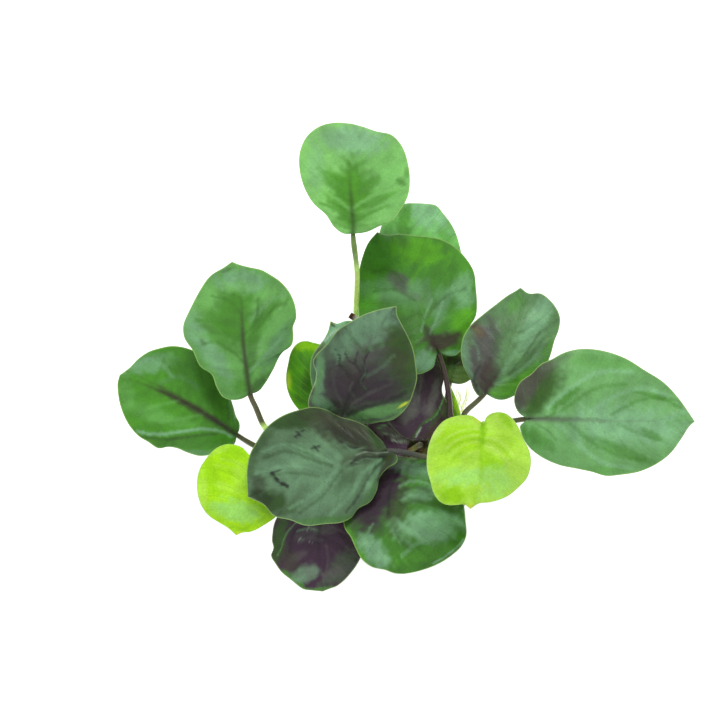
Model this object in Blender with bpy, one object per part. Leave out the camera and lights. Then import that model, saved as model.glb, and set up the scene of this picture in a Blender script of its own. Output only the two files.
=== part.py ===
"""Anubias on stone: a round-leaved water plant whose creeping stem is rooted onto a stone.

Metres, +Z up. The origin is the middle of the stone's flat underside, and the front is -Y. A blade's
outline and a stalk's route are pixels of one view, from the front and above, and each point also has
a height over the ground. A blade lies on a plane of its own and is bent out of it along the lines of
sight, so that it keeps its outline in that view.
"""

import math

import bpy
import numpy as np

# Driving dimensions, in metres
PLANT_WIDTH = 0.230
STONE_LENGTH = 0.079
STONE_DEPTH = 0.056
STONE_HEIGHT = 0.038
BLADE_THICKNESS = 0.0009
STALK_FOOT_RADIUS = 0.0015
STALK_MIDDLE_RADIUS = 0.0012
STALK_TOP_RADIUS = 0.0010
FOOT_RISE = 0.004
RHIZOME_RADIUS = 0.0042
ROOT_RADIUS = 0.0008
ROOT_END_RADIUS = 0.0005
FREE_ROOT_RADIUS = 0.00035
STONE_SLANT = 0.007
GAP = 0.0004
MM = 0.001

# The stone's shape: the height of its waist and the reach of its foot, as shares of the whole, and
# how full its top is, where 1 is a plain ellipse and less is fuller
STONE_WAIST = 0.5
FOOT_REACH = 0.78
ROUNDING = 0.65
CROWNING = 0.85

# The stone's lumps: size, how many go round, where they start, and how they turn with height
STONE_LUMPS = [(0.04, 2, 0.6, 0), (0.045, 3, 2.1, 2), (0.03, 5, -0.7, -3), (0.015, 8, 0, 4)]

# The view that the pixels belong to
VIEW_ELEVATION = math.radians(62)
VIEW_DISTANCE = 1.1
VIEW_MIDDLE = np.array([360.0, 360.0])
LEFT_END, RIGHT_END = 118, 695
AXIS_PIXEL = np.array([370.0, 437.0])
AXIS_HEIGHT = 0.060
PIXEL = PLANT_WIDTH / (RIGHT_END - LEFT_END)

ACROSS = np.array([1.0, 0.0, 0.0])
UPWARD = np.array([0.0, math.sin(VIEW_ELEVATION), math.cos(VIEW_ELEVATION)])
AWAY = np.array([0.0, math.cos(VIEW_ELEVATION), -math.sin(VIEW_ELEVATION)])
SHIFT = (VIEW_MIDDLE - AXIS_PIXEL) * PIXEL
EYE = np.array([0, 0, AXIS_HEIGHT]) + SHIFT[0] * ACROSS - SHIFT[1] * UPWARD - VIEW_DISTANCE * AWAY

# How a blade's grid is laid out: the rows start later on the midrib than on the edges, and bow back
BLADE_ROWS = 10
BLADE_COLUMNS = 9
RIB_LAG = 1.45
VEIN_BOW = 0.05

# How finely the round pieces are faceted
STALK_RINGS, STALK_SIDES = 8, 6
ROLLED_SIDES = 8
RHIZOME_RINGS, RHIZOME_SIDES = 16, 10
ROOT_RINGS, ROOT_SIDES = 10, 5
FREE_ROOT_RINGS = 6
STONE_SIDES = 28
STONE_LEVELS = [0, 0.17, 0.34, 0.5, 0.6, 0.69, 0.78, 0.87, 0.95]

# Colours as they are on the plant
FRESH = (0.21, 0.42, 0.07)
YOUNG = (0.36, 0.62, 0.02)
MATURE = (0.09, 0.22, 0.05)
DARK = (0.035, 0.06, 0.035)
PURPLE = (0.045, 0.03, 0.045)
STALK_BROWN = (0.06, 0.055, 0.03)
STALK_GREEN = (0.35, 0.62, 0.12)
RHIZOME_BROWN = (0.11, 0.07, 0.03)
ROOT_PALE = (0.42, 0.36, 0.2)
STONE_GREY = (0.06, 0.058, 0.055)

# How matt each kind of surface is
LEAF_ROUGHNESS = 0.4
BARK_ROUGHNESS = 0.7
STONE_ROUGHNESS = 0.85

# Each leaf: its outline in pixels from base to tip along both sides, left and right as the leaf
# points; the heights of base and tip, in millimetres; its roll in degrees, left side up; arch, how
# far its middle rises, and cup, how far its edges do; its foot on the rhizome, as the place in
# millimetres and the angle over the top from the back; and its stalk's route, in pixels and height.
LEAVES = {
    "tall_back": dict(
        base=(353, 234), tip=(352, 124), rib=[(350, 180)],
        left=[(336, 228), (313, 203), (300, 175), (302, 142), (326, 124)],
        right=[(374, 229), (397, 216), (410, 184), (403, 147), (384, 133)],
        heights=(95, 85), roll=-3, arch=4.5, cup=-3.0,
        foot=(-4, 40), route=[(358, 400, 48.5), (357, 345, 59), (356, 316, 67), (357, 272, 83)],
        colour=FRESH, stalk=STALK_GREEN),
    "back_right": dict(
        base=(412, 300), tip=(407, 203), rib=[(407, 250)],
        left=[(396, 298), (380, 282), (375, 258), (379, 234), (389, 214)],
        right=[(434, 298), (455, 284), (462, 262), (455, 231), (438, 206)],
        heights=(58, 48), roll=0, arch=4.0, cup=-2.5,
        foot=(10, 35), route=[(408, 408, 46.5), (421, 380, 49.5), (423, 345, 53.5)],
        colour=MATURE, stalk=STALK_BROWN),
    "centre_top": dict(
        base=(438, 352), tip=(377, 232), rib=[(420, 315), (400, 270)],
        left=[(434, 364), (421, 374), (390, 365), (363, 335), (358, 295), (361, 262)],
        right=[(447, 356), (457, 354), (463, 334), (476, 312), (474, 272), (450, 246), (410, 233)],
        heights=(67, 68), roll=6, arch=4.0, cup=-3.0,
        foot=(32, 60), route=[(450, 412, 55.8), (445, 374, 61.5)],
        colour=MATURE, stalk=PURPLE),
    "middle": dict(
        base=(342, 420), tip=(396, 306), rib=[(355, 390), (366, 350)],
        left=[(322, 420), (308, 404), (315, 380), (314, 357), (332, 337), (362, 316)],
        right=[(370, 424), (403, 412), (416, 386), (415, 354), (404, 329)],
        heights=(57, 88), roll=0, arch=4.0, cup=-2.5,
        foot=(-11, 100), route=[(342, 430, 53)],
        colour=DARK, stalk=STALK_BROWN),
    "behind_middle": dict(
        base=(340, 416), tip=(330, 322), rib=[(334, 370)],
        left=[(324, 412), (313, 390), (310, 364), (320, 344)],
        right=[(354, 406), (360, 384), (358, 350), (347, 326)],
        heights=(49, 69), roll=0, arch=2.0, cup=-1.0,
        foot=(-16, 60), route=[],
        colour=MATURE, stalk=STALK_BROWN),
    "young_middle": dict(
        base=(316, 424), tip=(308, 341), rib=[(310, 385)],
        left=[(304, 416), (290, 397), (287, 370), (294, 346)],
        right=[(332, 416), (342, 394), (340, 366), (326, 346)],
        heights=(45.5, 52), roll=0, arch=2.0, cup=1.0,
        foot=(-21, 45), route=[],
        colour=YOUNG, stalk=STALK_GREEN),
    "upper_left": dict(
        base=(250, 394), tip=(232, 262), rib=[(244, 350), (241, 305)],
        left=[(238, 400), (215, 386), (197, 360), (183, 332), (194, 301), (210, 276)],
        right=[(264, 386), (280, 358), (293, 332), (293, 303), (280, 281), (256, 267)],
        heights=(66, 67), roll=4, arch=5.0, cup=-3.0,
        foot=(-28, 75), route=[(264, 426, 55), (256, 408, 61)],
        colour=FRESH, stalk=STALK_BROWN),
    "far_left": dict(
        base=(237, 435), tip=(120, 375), rib=[(210, 417), (170, 396)],
        left=[(225, 450), (200, 456), (165, 448), (132, 430), (118, 402)],
        right=[(239, 424), (231, 403), (222, 378), (206, 357), (182, 347), (153, 351)],
        heights=(45, 42), roll=-12, arch=5.5, cup=-3.0,
        foot=(-35, 20), route=[(262, 449, 44.5), (248, 442, 44.3)],
        colour=FRESH, stalk=STALK_BROWN),
    "front_left": dict(
        base=(388, 451), tip=(248, 497), rib=[(345, 461), (290, 481)],
        left=[(398, 457), (380, 478), (358, 511), (325, 524), (285, 519), (262, 505)],
        right=[(380, 440), (354, 420), (315, 407), (276, 420), (252, 449)],
        heights=(63, 54), roll=-14, arch=5.0, cup=-3.0,
        foot=(28, 125), route=[(440, 457, 55), (426, 457, 58.5), (404, 452, 62)],
        colour=DARK, stalk=STALK_BROWN),
    "young_lower_left": dict(
        base=(270, 444), tip=(236, 535), rib=[(255, 490)],
        left=[(284, 456), (293, 484), (284, 510), (262, 527)],
        right=[(252, 446), (228, 444), (205, 460), (197, 488), (211, 517)],
        heights=(54, 40), roll=0, arch=3.0, cup=-1.5,
        foot=(-32, 135), route=[(282, 461, 49), (275, 451, 51.5)],
        colour=YOUNG, stalk=STALK_GREEN),
    "bottom": dict(
        base=(326, 490), tip=(320, 591), rib=[(320, 540)],
        left=[(344, 494), (364, 515), (366, 545), (352, 572)],
        right=[(306, 494), (280, 515), (271, 548), (286, 576)],
        heights=(46, 31), roll=0, arch=4.0, cup=-2.5,
        foot=(-17, 150), route=[],
        colour=PURPLE, stalk=STALK_BROWN),
    "bottom_right": dict(
        base=(412, 458), tip=(404, 574), rib=[(400, 505), (399, 545)],
        left=[(430, 461), (452, 472), (466, 502), (465, 542), (438, 566)],
        right=[(394, 455), (362, 470), (342, 498), (345, 528), (362, 560)],
        heights=(53, 54), roll=6, arch=4.0, cup=-2.5,
        foot=(19, 155), route=[],
        colour=DARK, stalk=STALK_BROWN),
    "young_right": dict(
        base=(484, 424), tip=(470.5, 509), rib=[(481, 445), (482, 475)],
        left=[(486, 416), (505, 413), (522, 438), (531, 466), (514, 492), (490, 502)],
        right=[(480, 420), (457, 416), (435, 430), (427, 460), (433, 495), (452, 505)],
        heights=(80, 90), roll=0, arch=4.0, cup=-2.0,
        foot=(35, 105), route=[(470, 440, 66)],
        colour=YOUNG, stalk=STALK_GREEN),
    "right_middle": dict(
        base=(484, 394), tip=(520, 288), rib=[(503, 364), (521, 317)],
        left=[(474, 388), (461, 356), (467, 328), (492, 307)],
        right=[(500, 400), (532, 383), (549, 360), (560, 325), (552, 301), (536, 293)],
        heights=(70, 75), roll=9, arch=4.0, cup=-2.5,
        foot=(40, 20), route=[(465, 413, 61)],
        colour=DARK, stalk=STALK_BROWN),
    "far_right": dict(
        base=(527, 419), tip=(695, 421), rib=[(610, 420)],
        left=[(514, 405), (520, 382), (546, 361), (590, 349), (640, 366), (674, 391)],
        right=[(521, 432), (534, 452), (570, 468), (612, 476), (650, 468), (680, 441)],
        heights=(74, 64), roll=12, arch=6.5, cup=-3.5,
        foot=(42, 75), route=[(490, 428, 61), (513, 421, 70)],
        colour=FRESH, stalk=STALK_BROWN),
    "inner_right": dict(
        base=(453, 381), tip=(457, 310), rib=[(457, 345)],
        left=[(443, 374), (434, 352), (440, 325)],
        right=[(468, 381), (475, 362), (470, 332)],
        heights=(56, 58), roll=0, arch=2.0, cup=-1.0,
        foot=(26, 30), route=[(442, 420, 46.5), (449.5, 403, 50)],
        colour=MATURE, stalk=STALK_BROWN),
    "inner_centre": dict(
        base=(427, 439), tip=(418, 345), rib=[(417, 395)],
        left=[(408, 439), (390, 424), (380, 398), (382, 368), (400, 348)],
        right=[(444, 431), (451, 416), (444, 397), (440, 378), (434, 358)],
        heights=(51.5, 57.5), roll=13, arch=2.0, cup=-1.5,
        foot=(24, 70), route=[],
        colour=PURPLE, stalk=STALK_BROWN),
    "inner_front": dict(
        base=(406, 451), tip=(365, 436), rib=[(386, 442)],
        left=[(398, 460), (384, 462), (370, 452)],
        right=[(411, 438), (403, 420), (388, 410), (371, 417)],
        heights=(49.5, 48.5), roll=0, arch=1.5, cup=-1.0,
        foot=(20, 105), route=[],
        colour=PURPLE, stalk=STALK_BROWN),
}

# The rolled young leaf and the cut stub of an old stalk: routes in pixels and height, and radii
ROLLED_ROUTE = [(457, 416, 50), (454, 400, 53), (449.5, 385, 55.5)]
ROLLED_RADII = [1.7, 1.8, 1.8, 1.3, 0.7, 0.2]
ROLLED_FOOT = (36, 45)
STUB_ROUTE = [(361, 400, 58), (361, 345, 72), (358, 321, 76), (350, 315, 77.5)]
STUB_RADII = [1.3, 1.1, 1.0, 1.0, 1.1, 1.2]
STUB_FOOT = (-5, 88)

# The rhizome's middle line over the stone, from its left growing end to its right one, in
# millimetres, and the share of its radius that is left at both ends
RHIZOME_LINE = [(-38, -7, 43), (-28, -5, 42.6), (-14, -1, 43), (4, 2, 43), (20, 3, 43),
                (32, 4, 42.8), (45, 5, 43.5)]
RHIZOME_TIP = 0.12

# Roots: where each leaves the rhizome in millimetres, its side (1 back, -1 front), and how far it
# drifts round the stone, in degrees, before it reaches the height where it ends
ROOTS = [(-26, -1, -10, 6), (-10, -1, 8, 3), (6, -1, -6, 8), (20, -1, -26, 4), (30, -1, -6, 14),
         (-22, 1, 12, 9), (-4, 1, -8, 4), (14, 1, 6, 7), (30, 1, -10, 3)]
FREE_ROOTS = [[(456, 418, 47), (459, 404, 49), (458, 388, 51)],
              [(462, 419, 47), (464, 404, 49), (468, 387, 51)]]


def sights(pixels):
    """Unit lines of sight from the eye through these pixels."""
    offset = (np.asarray(pixels, float) - VIEW_MIDDLE) * PIXEL
    line = VIEW_DISTANCE * AWAY + offset[..., :1] * ACROSS - offset[..., 1:] * UPWARD
    return line / np.linalg.norm(line, axis=-1, keepdims=True)


def seen_at(pixels, height):
    """Points that these pixels show at a height over the ground."""
    line = sights(pixels)
    return EYE + line * ((np.asarray(height) - EYE[2]) / line[..., 2])[..., None]


def route_points(route):
    """Points of a route of pixels, each with its height in millimetres."""
    route = np.array(route, float)
    return seen_at(route[:, :2], route[:, 2] * MM)


def smooth_curve(points, steps=16):
    """A smooth curve through the points, spaced by its chords, as closely spaced points."""
    points = np.asarray(points, float)
    chords = np.linalg.norm(np.diff(points, axis=0), axis=1)
    run = np.concatenate([[0], np.cumsum(chords)])
    slopes = np.gradient(points, run, axis=0)
    u = np.linspace(0, 1, steps, endpoint=False)[None, :, None]
    span = chords[:, None, None]
    curve = (
        (2 * u**3 - 3 * u**2 + 1) * points[:-1, None]
        + (u**3 - 2 * u**2 + u) * span * slopes[:-1, None]
        + (3 * u**2 - 2 * u**3) * points[1:, None]
        + (u**3 - u**2) * span * slopes[1:, None]
    )
    return np.vstack([curve.reshape(-1, points.shape[1]), points[-1:]])


def along(curve, fractions):
    """Points at these fractions of a curve's length."""
    steps = np.linalg.norm(np.diff(curve, axis=0), axis=1)
    run = np.concatenate([[0], np.cumsum(steps)]) / steps.sum()
    return np.stack([np.interp(fractions, run, axis) for axis in curve.T], axis=-1)


def material(name, colour, roughness):
    made = bpy.data.materials.new(name)
    made.use_nodes = True
    shader = made.node_tree.nodes["Principled BSDF"]
    shader.inputs["Base Color"].default_value = (*colour, 1)
    shader.inputs["Roughness"].default_value = roughness
    shader.inputs["Metallic"].default_value = 0.0
    return made


def add_solid(name, points, triangles, colour, roughness):
    """One closed solid, its faces turned outwards."""
    triangles = np.asarray(triangles)
    corners = np.asarray(points)[triangles]
    if np.linalg.det(corners).sum() < 0:
        triangles = triangles[:, ::-1]
    mesh = bpy.data.meshes.new(name)
    mesh.from_pydata(np.asarray(points).tolist(), [], triangles.tolist())
    mesh.shade_smooth()
    mesh.materials.append(material(name, colour, roughness))
    solid = bpy.data.objects.new(name, mesh)
    bpy.context.scene.collection.objects.link(solid)
    return solid


def blade_plane(leaf):
    """A point of the plane that a blade lies on, and its normal."""
    base, tip = seen_at([leaf["base"], leaf["tip"]], np.array(leaf["heights"]) * MM)
    spine = (tip - base) / np.linalg.norm(tip - base)
    upright = np.array([0, 0, 1]) - spine[2] * spine
    upright /= np.linalg.norm(upright)
    roll = math.radians(leaf["roll"])
    # A raised left side tips the normal to the right.
    return base, math.cos(roll) * upright + math.sin(roll) * np.cross(spine, upright)


def blade_surface(leaf, t, s):
    """The middle surface of a blade, and the lines of sight to it.

    t runs from base to tip along the edges, and s from the left edge, -1, over the midrib to the
    right edge, 1. A row goes from the midrib out to the edge, bowed back as the side veins are.
    """
    base, tip = leaf["base"], leaf["tip"]
    rib = along(smooth_curve([base, *leaf["rib"], tip]), t**RIB_LAG)
    left = along(smooth_curve([base, *leaf["left"], tip]), t)
    right = along(smooth_curve([base, *leaf["right"], tip]), t)
    t, s = t[:, None], s[None, :]
    out = np.abs(s)[..., None]
    edge = np.where(s[..., None] < 0, left[:, None], right[:, None])
    pixels = rib[:, None] + (edge - rib[:, None]) * out
    bow = VEIN_BOW * out * (1 - out) * np.sin(math.pi * t)[..., None]
    pixels = pixels - bow * np.subtract(tip, base)
    line = sights(pixels)
    point, normal = blade_plane(leaf)
    flat = EYE + line * (((point - EYE) @ normal) / (line @ normal))[..., None]
    fullness = np.sqrt(4 * t * (1 - t))
    rise = leaf["arch"] * 4 * t * (1 - t) + leaf["cup"] * s**2 * fullness
    return flat - line * rise[..., None] * MM, line


def make_blade(name, leaf):
    """A thin closed blade: an upper and a lower skin that meet at the edges, the base and the tip."""
    t = (1 - np.cos(np.linspace(0, math.pi, BLADE_ROWS + 2))) / 2
    s = np.linspace(-1, 1, BLADE_COLUMNS)
    middle, line = blade_surface(leaf, t, s)
    half = line * BLADE_THICKNESS / 2
    inner = slice(1, -1)
    upper = middle[inner] - half[inner] * (np.abs(s) < 1)[None, :, None]
    lower = (middle + half)[inner, inner]
    points = np.vstack([middle[0, :1], middle[-1, :1], upper.reshape(-1, 3), lower.reshape(-1, 3)])
    top = 2 + np.arange(upper.shape[0] * BLADE_COLUMNS).reshape(-1, BLADE_COLUMNS)
    under = top.copy()
    under[:, inner] = 2 + top.size + np.arange(lower.shape[0] * lower.shape[1]).reshape(lower.shape[:2])
    triangles = []
    for sheet, turn in ((top, 1), (under, -1)):
        a, b, c, d = sheet[:-1, :-1], sheet[:-1, 1:], sheet[1:, 1:], sheet[1:, :-1]
        faces = [np.stack([a, b, c], -1), np.stack([a, c, d], -1)]
        first, last = sheet[0], sheet[-1]
        ends = [np.stack([np.zeros_like(first[1:]), first[1:], first[:-1]], -1),
                np.stack([np.ones_like(last[1:]), last[:-1], last[1:]], -1)]
        triangles += [part.reshape(-1, 3)[:, ::turn] for part in faces + ends]
    return add_solid(name, points, np.vstack(triangles), leaf["colour"], LEAF_ROUGHNESS)


def make_tube(name, path, radii, sides, colour, roughness):
    """A round closed tube of changing radius along a path."""
    path = np.asarray(path)
    ahead = np.gradient(path, axis=0)
    ahead /= np.linalg.norm(ahead, axis=1, keepdims=True)
    steady = np.eye(3)[np.argmin(np.abs(path[-1] - path[0]))]
    side = np.cross(ahead, steady)
    side /= np.linalg.norm(side, axis=1, keepdims=True)
    other = np.cross(ahead, side)
    turn = np.linspace(0, 2 * math.pi, sides, endpoint=False)[None, :, None]
    ring = side[:, None] * np.cos(turn) + other[:, None] * np.sin(turn)
    rings = path[:, None] + ring * np.asarray(radii)[:, None, None]
    points = np.vstack([rings.reshape(-1, 3), path[:1], path[-1:]])
    index = np.arange(len(path) * sides).reshape(-1, sides)
    next_index = np.roll(index, -1, axis=1)
    a, b, c, d = index[:-1], next_index[:-1], next_index[1:], index[1:]
    start = np.full(sides, index.size)
    triangles = np.vstack([
        np.stack([a, b, c], -1).reshape(-1, 3),
        np.stack([a, c, d], -1).reshape(-1, 3),
        np.stack([start, next_index[0], index[0]], -1),
        np.stack([start + 1, index[-1], next_index[-1]], -1),
    ])
    return add_solid(name, points, triangles, colour, roughness)


def rhizome_radius(fraction):
    """The rhizome is thickest in its middle and rounds off towards both ends, to a share of that."""
    return RHIZOME_RADIUS * np.maximum(np.sqrt(1 - np.abs(2 * fraction - 1) ** 5), RHIZOME_TIP)


def foot_on_rhizome(place, angle):
    """The rhizome's middle at a place along X, the way out at an angle over its top, and its radius."""
    line = smooth_curve(np.array(RHIZOME_LINE, float) * MM)
    at = int(np.argmin(np.abs(line[:, 0] - place * MM)))
    angle = math.radians(angle)
    radius = rhizome_radius(at / (len(line) - 1))
    return line[at], np.array([0, math.cos(angle), math.sin(angle)]), radius


def stalk_path(foot, route, end=None):
    """From the rhizome's skin along the route, and to just under the blade where there is one."""
    centre, out, radius = foot_on_rhizome(*foot)
    points = [centre + out * (radius + 1.5 * GAP), centre + out * (radius + FOOT_RISE)]
    if route:
        points += list(route_points(route))
    if end is not None:
        points.append(end)
    return smooth_curve(points)


def make_stalk(name, leaf):
    base = route_points([(*leaf["base"], leaf["heights"][0])])[0]
    under = sights(leaf["base"]) * (BLADE_THICKNESS / 2 + STALK_TOP_RADIUS + GAP)
    run = np.linspace(0, 1, STALK_RINGS)
    path = along(stalk_path(leaf["foot"], leaf["route"], base + under), run)
    radii = np.interp(run, [0, 0.3, 1], [STALK_FOOT_RADIUS, STALK_MIDDLE_RADIUS, STALK_TOP_RADIUS])
    return make_tube(name, path, radii, STALK_SIDES, leaf["stalk"], LEAF_ROUGHNESS)


def make_rolled_leaf():
    path = along(stalk_path(ROLLED_FOOT, ROLLED_ROUTE), np.linspace(0, 1, len(ROLLED_RADII)))
    radii = np.array(ROLLED_RADII) * MM
    return make_tube("leaf_rolled_young", path, radii, ROLLED_SIDES, YOUNG, LEAF_ROUGHNESS)


def make_stub():
    path = along(stalk_path(STUB_FOOT, STUB_ROUTE), np.linspace(0, 1, len(STUB_RADII)))
    radii = np.array(STUB_RADII) * MM
    return make_tube("stalk_stub", path, radii, STALK_SIDES, STALK_BROWN, BARK_ROUGHNESS)


def make_rhizome():
    run = (1 - np.cos(np.linspace(0, math.pi, RHIZOME_RINGS))) / 2
    path = along(smooth_curve(np.array(RHIZOME_LINE, float) * MM), run)
    radii = rhizome_radius(run)
    return make_tube("rhizome", path, radii, RHIZOME_SIDES, RHIZOME_BROWN, BARK_ROUGHNESS)


def stone_point(angle, level):
    """A point of the stone: angle round it, and level from its foot, 0, over its waist to its top, 1."""
    lower = np.clip(level / STONE_WAIST, 0, 1)
    climb = np.clip((level - STONE_WAIST) / (1 - STONE_WAIST), 0, 1) * math.pi / 2
    under = FOOT_REACH + (1 - FOOT_REACH) * np.sin(lower * math.pi / 2)
    reach = np.where(level < STONE_WAIST, under, np.cos(climb) ** ROUNDING)
    over = STONE_WAIST + (1 - STONE_WAIST) * np.sin(climb) ** CROWNING
    height = np.where(level < STONE_WAIST, STONE_WAIST * lower, over)
    lumps = 1 + sum(size * np.cos(count * angle + start + turn * height)
                    for size, count, start, turn in STONE_LUMPS)
    return np.stack([
        STONE_LENGTH / 2 * np.cos(angle) * reach * lumps + STONE_SLANT * height,
        STONE_DEPTH / 2 * np.sin(angle) * reach * lumps,
        STONE_HEIGHT * height + 0 * angle,
    ], axis=-1)


def make_stone():
    angle = np.linspace(0, 2 * math.pi, STONE_SIDES, endpoint=False)
    rings = stone_point(angle[None, :], np.array(STONE_LEVELS)[:, None])
    points = np.vstack([rings.reshape(-1, 3), [[0, 0, 0]], stone_point(np.zeros(1), np.ones(1))])
    index = np.arange(len(STONE_LEVELS) * STONE_SIDES).reshape(-1, STONE_SIDES)
    beside = np.roll(index, -1, axis=1)
    a, b, c, d = index[:-1], beside[:-1], beside[1:], index[1:]
    pole = np.full(STONE_SIDES, index.size)
    triangles = np.vstack([
        np.stack([a, b, c], -1).reshape(-1, 3),
        np.stack([a, c, d], -1).reshape(-1, 3),
        np.stack([pole, beside[0], index[0]], -1),
        np.stack([pole + 1, index[-1], beside[-1]], -1),
    ])
    return add_solid("stone", points, triangles, STONE_GREY, STONE_ROUGHNESS)


def stone_skin(angle, level, lift):
    """A point a little way out from the stone's skin."""
    step = 1e-3
    point = stone_point(angle, level)
    round_it = stone_point(angle + step, level) - point
    up_it = stone_point(angle, level + step) - point
    out = np.cross(round_it, up_it)
    return point + lift * out / np.linalg.norm(out, axis=-1, keepdims=True)


def root_path(place, side, drift, end):
    """A root leaves the rhizome's underside and runs down the stone's skin to its end height."""
    centre, _, radius = foot_on_rhizome(place, 0)
    start = centre + np.array([0, side, 0]) * (radius + ROOT_RADIUS + 1.5 * GAP)
    across = (start[0] - STONE_SLANT) / STONE_LENGTH * 2
    along_it = (start[1] + side * 2 * MM) / STONE_DEPTH * 2
    angle = math.atan2(along_it, across)
    climb = math.acos(math.hypot(across, along_it) ** (1 / ROUNDING))
    first = STONE_WAIST + (1 - STONE_WAIST) * climb / (math.pi / 2)
    run = np.linspace(0, 1, ROOT_RINGS)
    levels = first + (end * MM / STONE_HEIGHT - first) * run
    angles = angle + math.radians(drift) * run
    return np.vstack([start, stone_skin(angles, levels, ROOT_RADIUS + 2 * GAP)])


def make_root(number, place, side, drift, end):
    run = np.linspace(0, 1, ROOT_RINGS)
    path = along(smooth_curve(root_path(place, side, drift, end)), run)
    radii = ROOT_RADIUS + (ROOT_END_RADIUS - ROOT_RADIUS) * run
    return make_tube(f"root_{number:02d}", path, radii, ROOT_SIDES, ROOT_PALE, BARK_ROUGHNESS)


def make_free_root(number, route):
    path = along(smooth_curve(route_points(route)), np.linspace(0, 1, FREE_ROOT_RINGS))
    radii = np.full(FREE_ROOT_RINGS, FREE_ROOT_RADIUS)
    return make_tube(f"root_free_{number}", path, radii, ROOT_SIDES, ROOT_PALE, BARK_ROUGHNESS)


def main():
    for old in list(bpy.data.objects):
        bpy.data.objects.remove(old)
    make_stone()
    make_rhizome()
    for number, root in enumerate(ROOTS, 1):
        make_root(number, *root)
    for number, route in enumerate(FREE_ROOTS, 1):
        make_free_root(number, route)
    for name, leaf in LEAVES.items():
        make_blade("leaf_" + name, leaf)
        make_stalk("stalk_" + name, leaf)
    make_rolled_leaf()
    make_stub()


main()
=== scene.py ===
"""The looks of an anubias on a stone: waxy round leaves on stalks, a creeping rhizome, roots, a stone.

Metres, +Z up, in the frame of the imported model. A blade's outline and a stalk's route are pixels of
one view, from the front and above, which is also the camera's. Each blade lies on a plane of its own
and is bent out of it along the lines of sight, so that it keeps its outline in that view.
"""

import math

import bpy
import numpy as np
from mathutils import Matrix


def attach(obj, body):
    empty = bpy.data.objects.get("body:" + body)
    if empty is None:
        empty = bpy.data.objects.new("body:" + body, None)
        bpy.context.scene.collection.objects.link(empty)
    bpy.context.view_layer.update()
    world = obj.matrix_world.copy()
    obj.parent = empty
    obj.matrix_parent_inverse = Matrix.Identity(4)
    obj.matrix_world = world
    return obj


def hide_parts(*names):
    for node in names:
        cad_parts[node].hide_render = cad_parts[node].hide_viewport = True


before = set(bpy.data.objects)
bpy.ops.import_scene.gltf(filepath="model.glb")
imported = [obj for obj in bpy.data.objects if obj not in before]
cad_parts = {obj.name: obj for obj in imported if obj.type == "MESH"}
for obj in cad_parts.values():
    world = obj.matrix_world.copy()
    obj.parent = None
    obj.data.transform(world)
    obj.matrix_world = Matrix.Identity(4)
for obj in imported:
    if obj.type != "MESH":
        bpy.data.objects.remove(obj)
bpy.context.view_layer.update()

MM = 0.001

# The view that the pixels belong to, as in the source of the solids
PLANT_WIDTH = 0.230
VIEW_ELEVATION = math.radians(62)
VIEW_DISTANCE = 1.1
VIEW_MIDDLE = np.array([360.0, 360.0])
IMAGE_WIDTH = 720
LEFT_END, RIGHT_END = 118, 695
AXIS_PIXEL = np.array([370.0, 437.0])
AXIS_HEIGHT = 0.060
PIXEL = PLANT_WIDTH / (RIGHT_END - LEFT_END)

ACROSS = np.array([1.0, 0.0, 0.0])
UPWARD = np.array([0.0, math.sin(VIEW_ELEVATION), math.cos(VIEW_ELEVATION)])
AWAY = np.array([0.0, math.cos(VIEW_ELEVATION), -math.sin(VIEW_ELEVATION)])
SHIFT = (VIEW_MIDDLE - AXIS_PIXEL) * PIXEL
EYE = np.array([0, 0, AXIS_HEIGHT]) + SHIFT[0] * ACROSS - SHIFT[1] * UPWARD - VIEW_DISTANCE * AWAY

# How a blade's grid is laid out: its mean step in pixels, how the midrib's points lag behind the
# edges', and how far a row bows back
GRID_STEP = 1.3
RIB_LAG = 1.45
VEIN_BOW = 0.05

# A blade's relief, in millimetres: thickness at the midrib and at the margin, and over what distance
# it falls; how far the midrib stands out below and lies in above, its half width, and the width of
# its colour; how far the stretches between side veins bulge. Then how many side veins there are, how
# far they sweep to the tip, as a share of the blade, how far each half's lie from where a stretch
# ends, in stretches, over what share of the half that sets in, and how they waver, in stretches and
# pixels
RIB_THICKNESS, MARGIN_THICKNESS, SHOULDER = 0.55, 0.28, 2.2
RIB_KEEL, RIB_GROOVE, RIB_HALF_WIDTH = 0.75, 0.24, 0.8
RIB_WIDTH = 1.4
QUILT = 0.22
SIDE_VEINS = 11
VEIN_SWEEP = 0.1
VEIN_STAGGER, STAGGER_WIDTH = 0.25, 0.04
VEIN_WAVER = (0.09, 60)

# A blade's long soft waves and its rippled margin: height in millimetres and wavelength in pixels
WAVE, WAVE_LENGTH = 0.5, 95
RIPPLE, RIPPLE_LENGTH = 0.45, 48

# How uneven a blade's colour is, as strength and size: clouds, in pixels, and streaks, in stretches
# between side veins. Then how far the edges of patches fray along both, and of strokes in pixels, and
# between which shares of its size a patch or stroke is gone and is full
CLOUDS, STREAKS = (0.06, 20), (0.07, 0.9)
PATCH_FRAY, PATCH_STREAKS, STROKE_FRAY = (0.1, 9), (0.15, 1.1), (0.3, 7)
PATCH_EDGE, STROKE_EDGE = (1.42, 0.5), (1.7, 0.3)

# How far the stalk's last stretch runs under the midrib, as shares of the blade, how deep it lies
# there, in millimetres, and how much of the blade's arch it follows
STALK_REACH = [0, 0.05, 0.1]
STALK_DEPTH = [1.6, 1.1, 0.7]
STALK_ARCH = [0.0, 0.6, 1.3]

# How much light the gloss adds to every colour
GLOSS = 0.017

# The white surround, the lights' powers in watts, the point that they face, and the floor's width
# and own glow
SURROUND = 0.5
OVERHEAD_POWER = 4.0
SHEEN_POWER = 0.14
FRONT_POWER = 1.2
PLANT_MIDDLE = np.array([0, 0.03, 0.05])
FLOOR_WIDTH = 3.2
FLOOR_GLOW = 0.75

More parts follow.
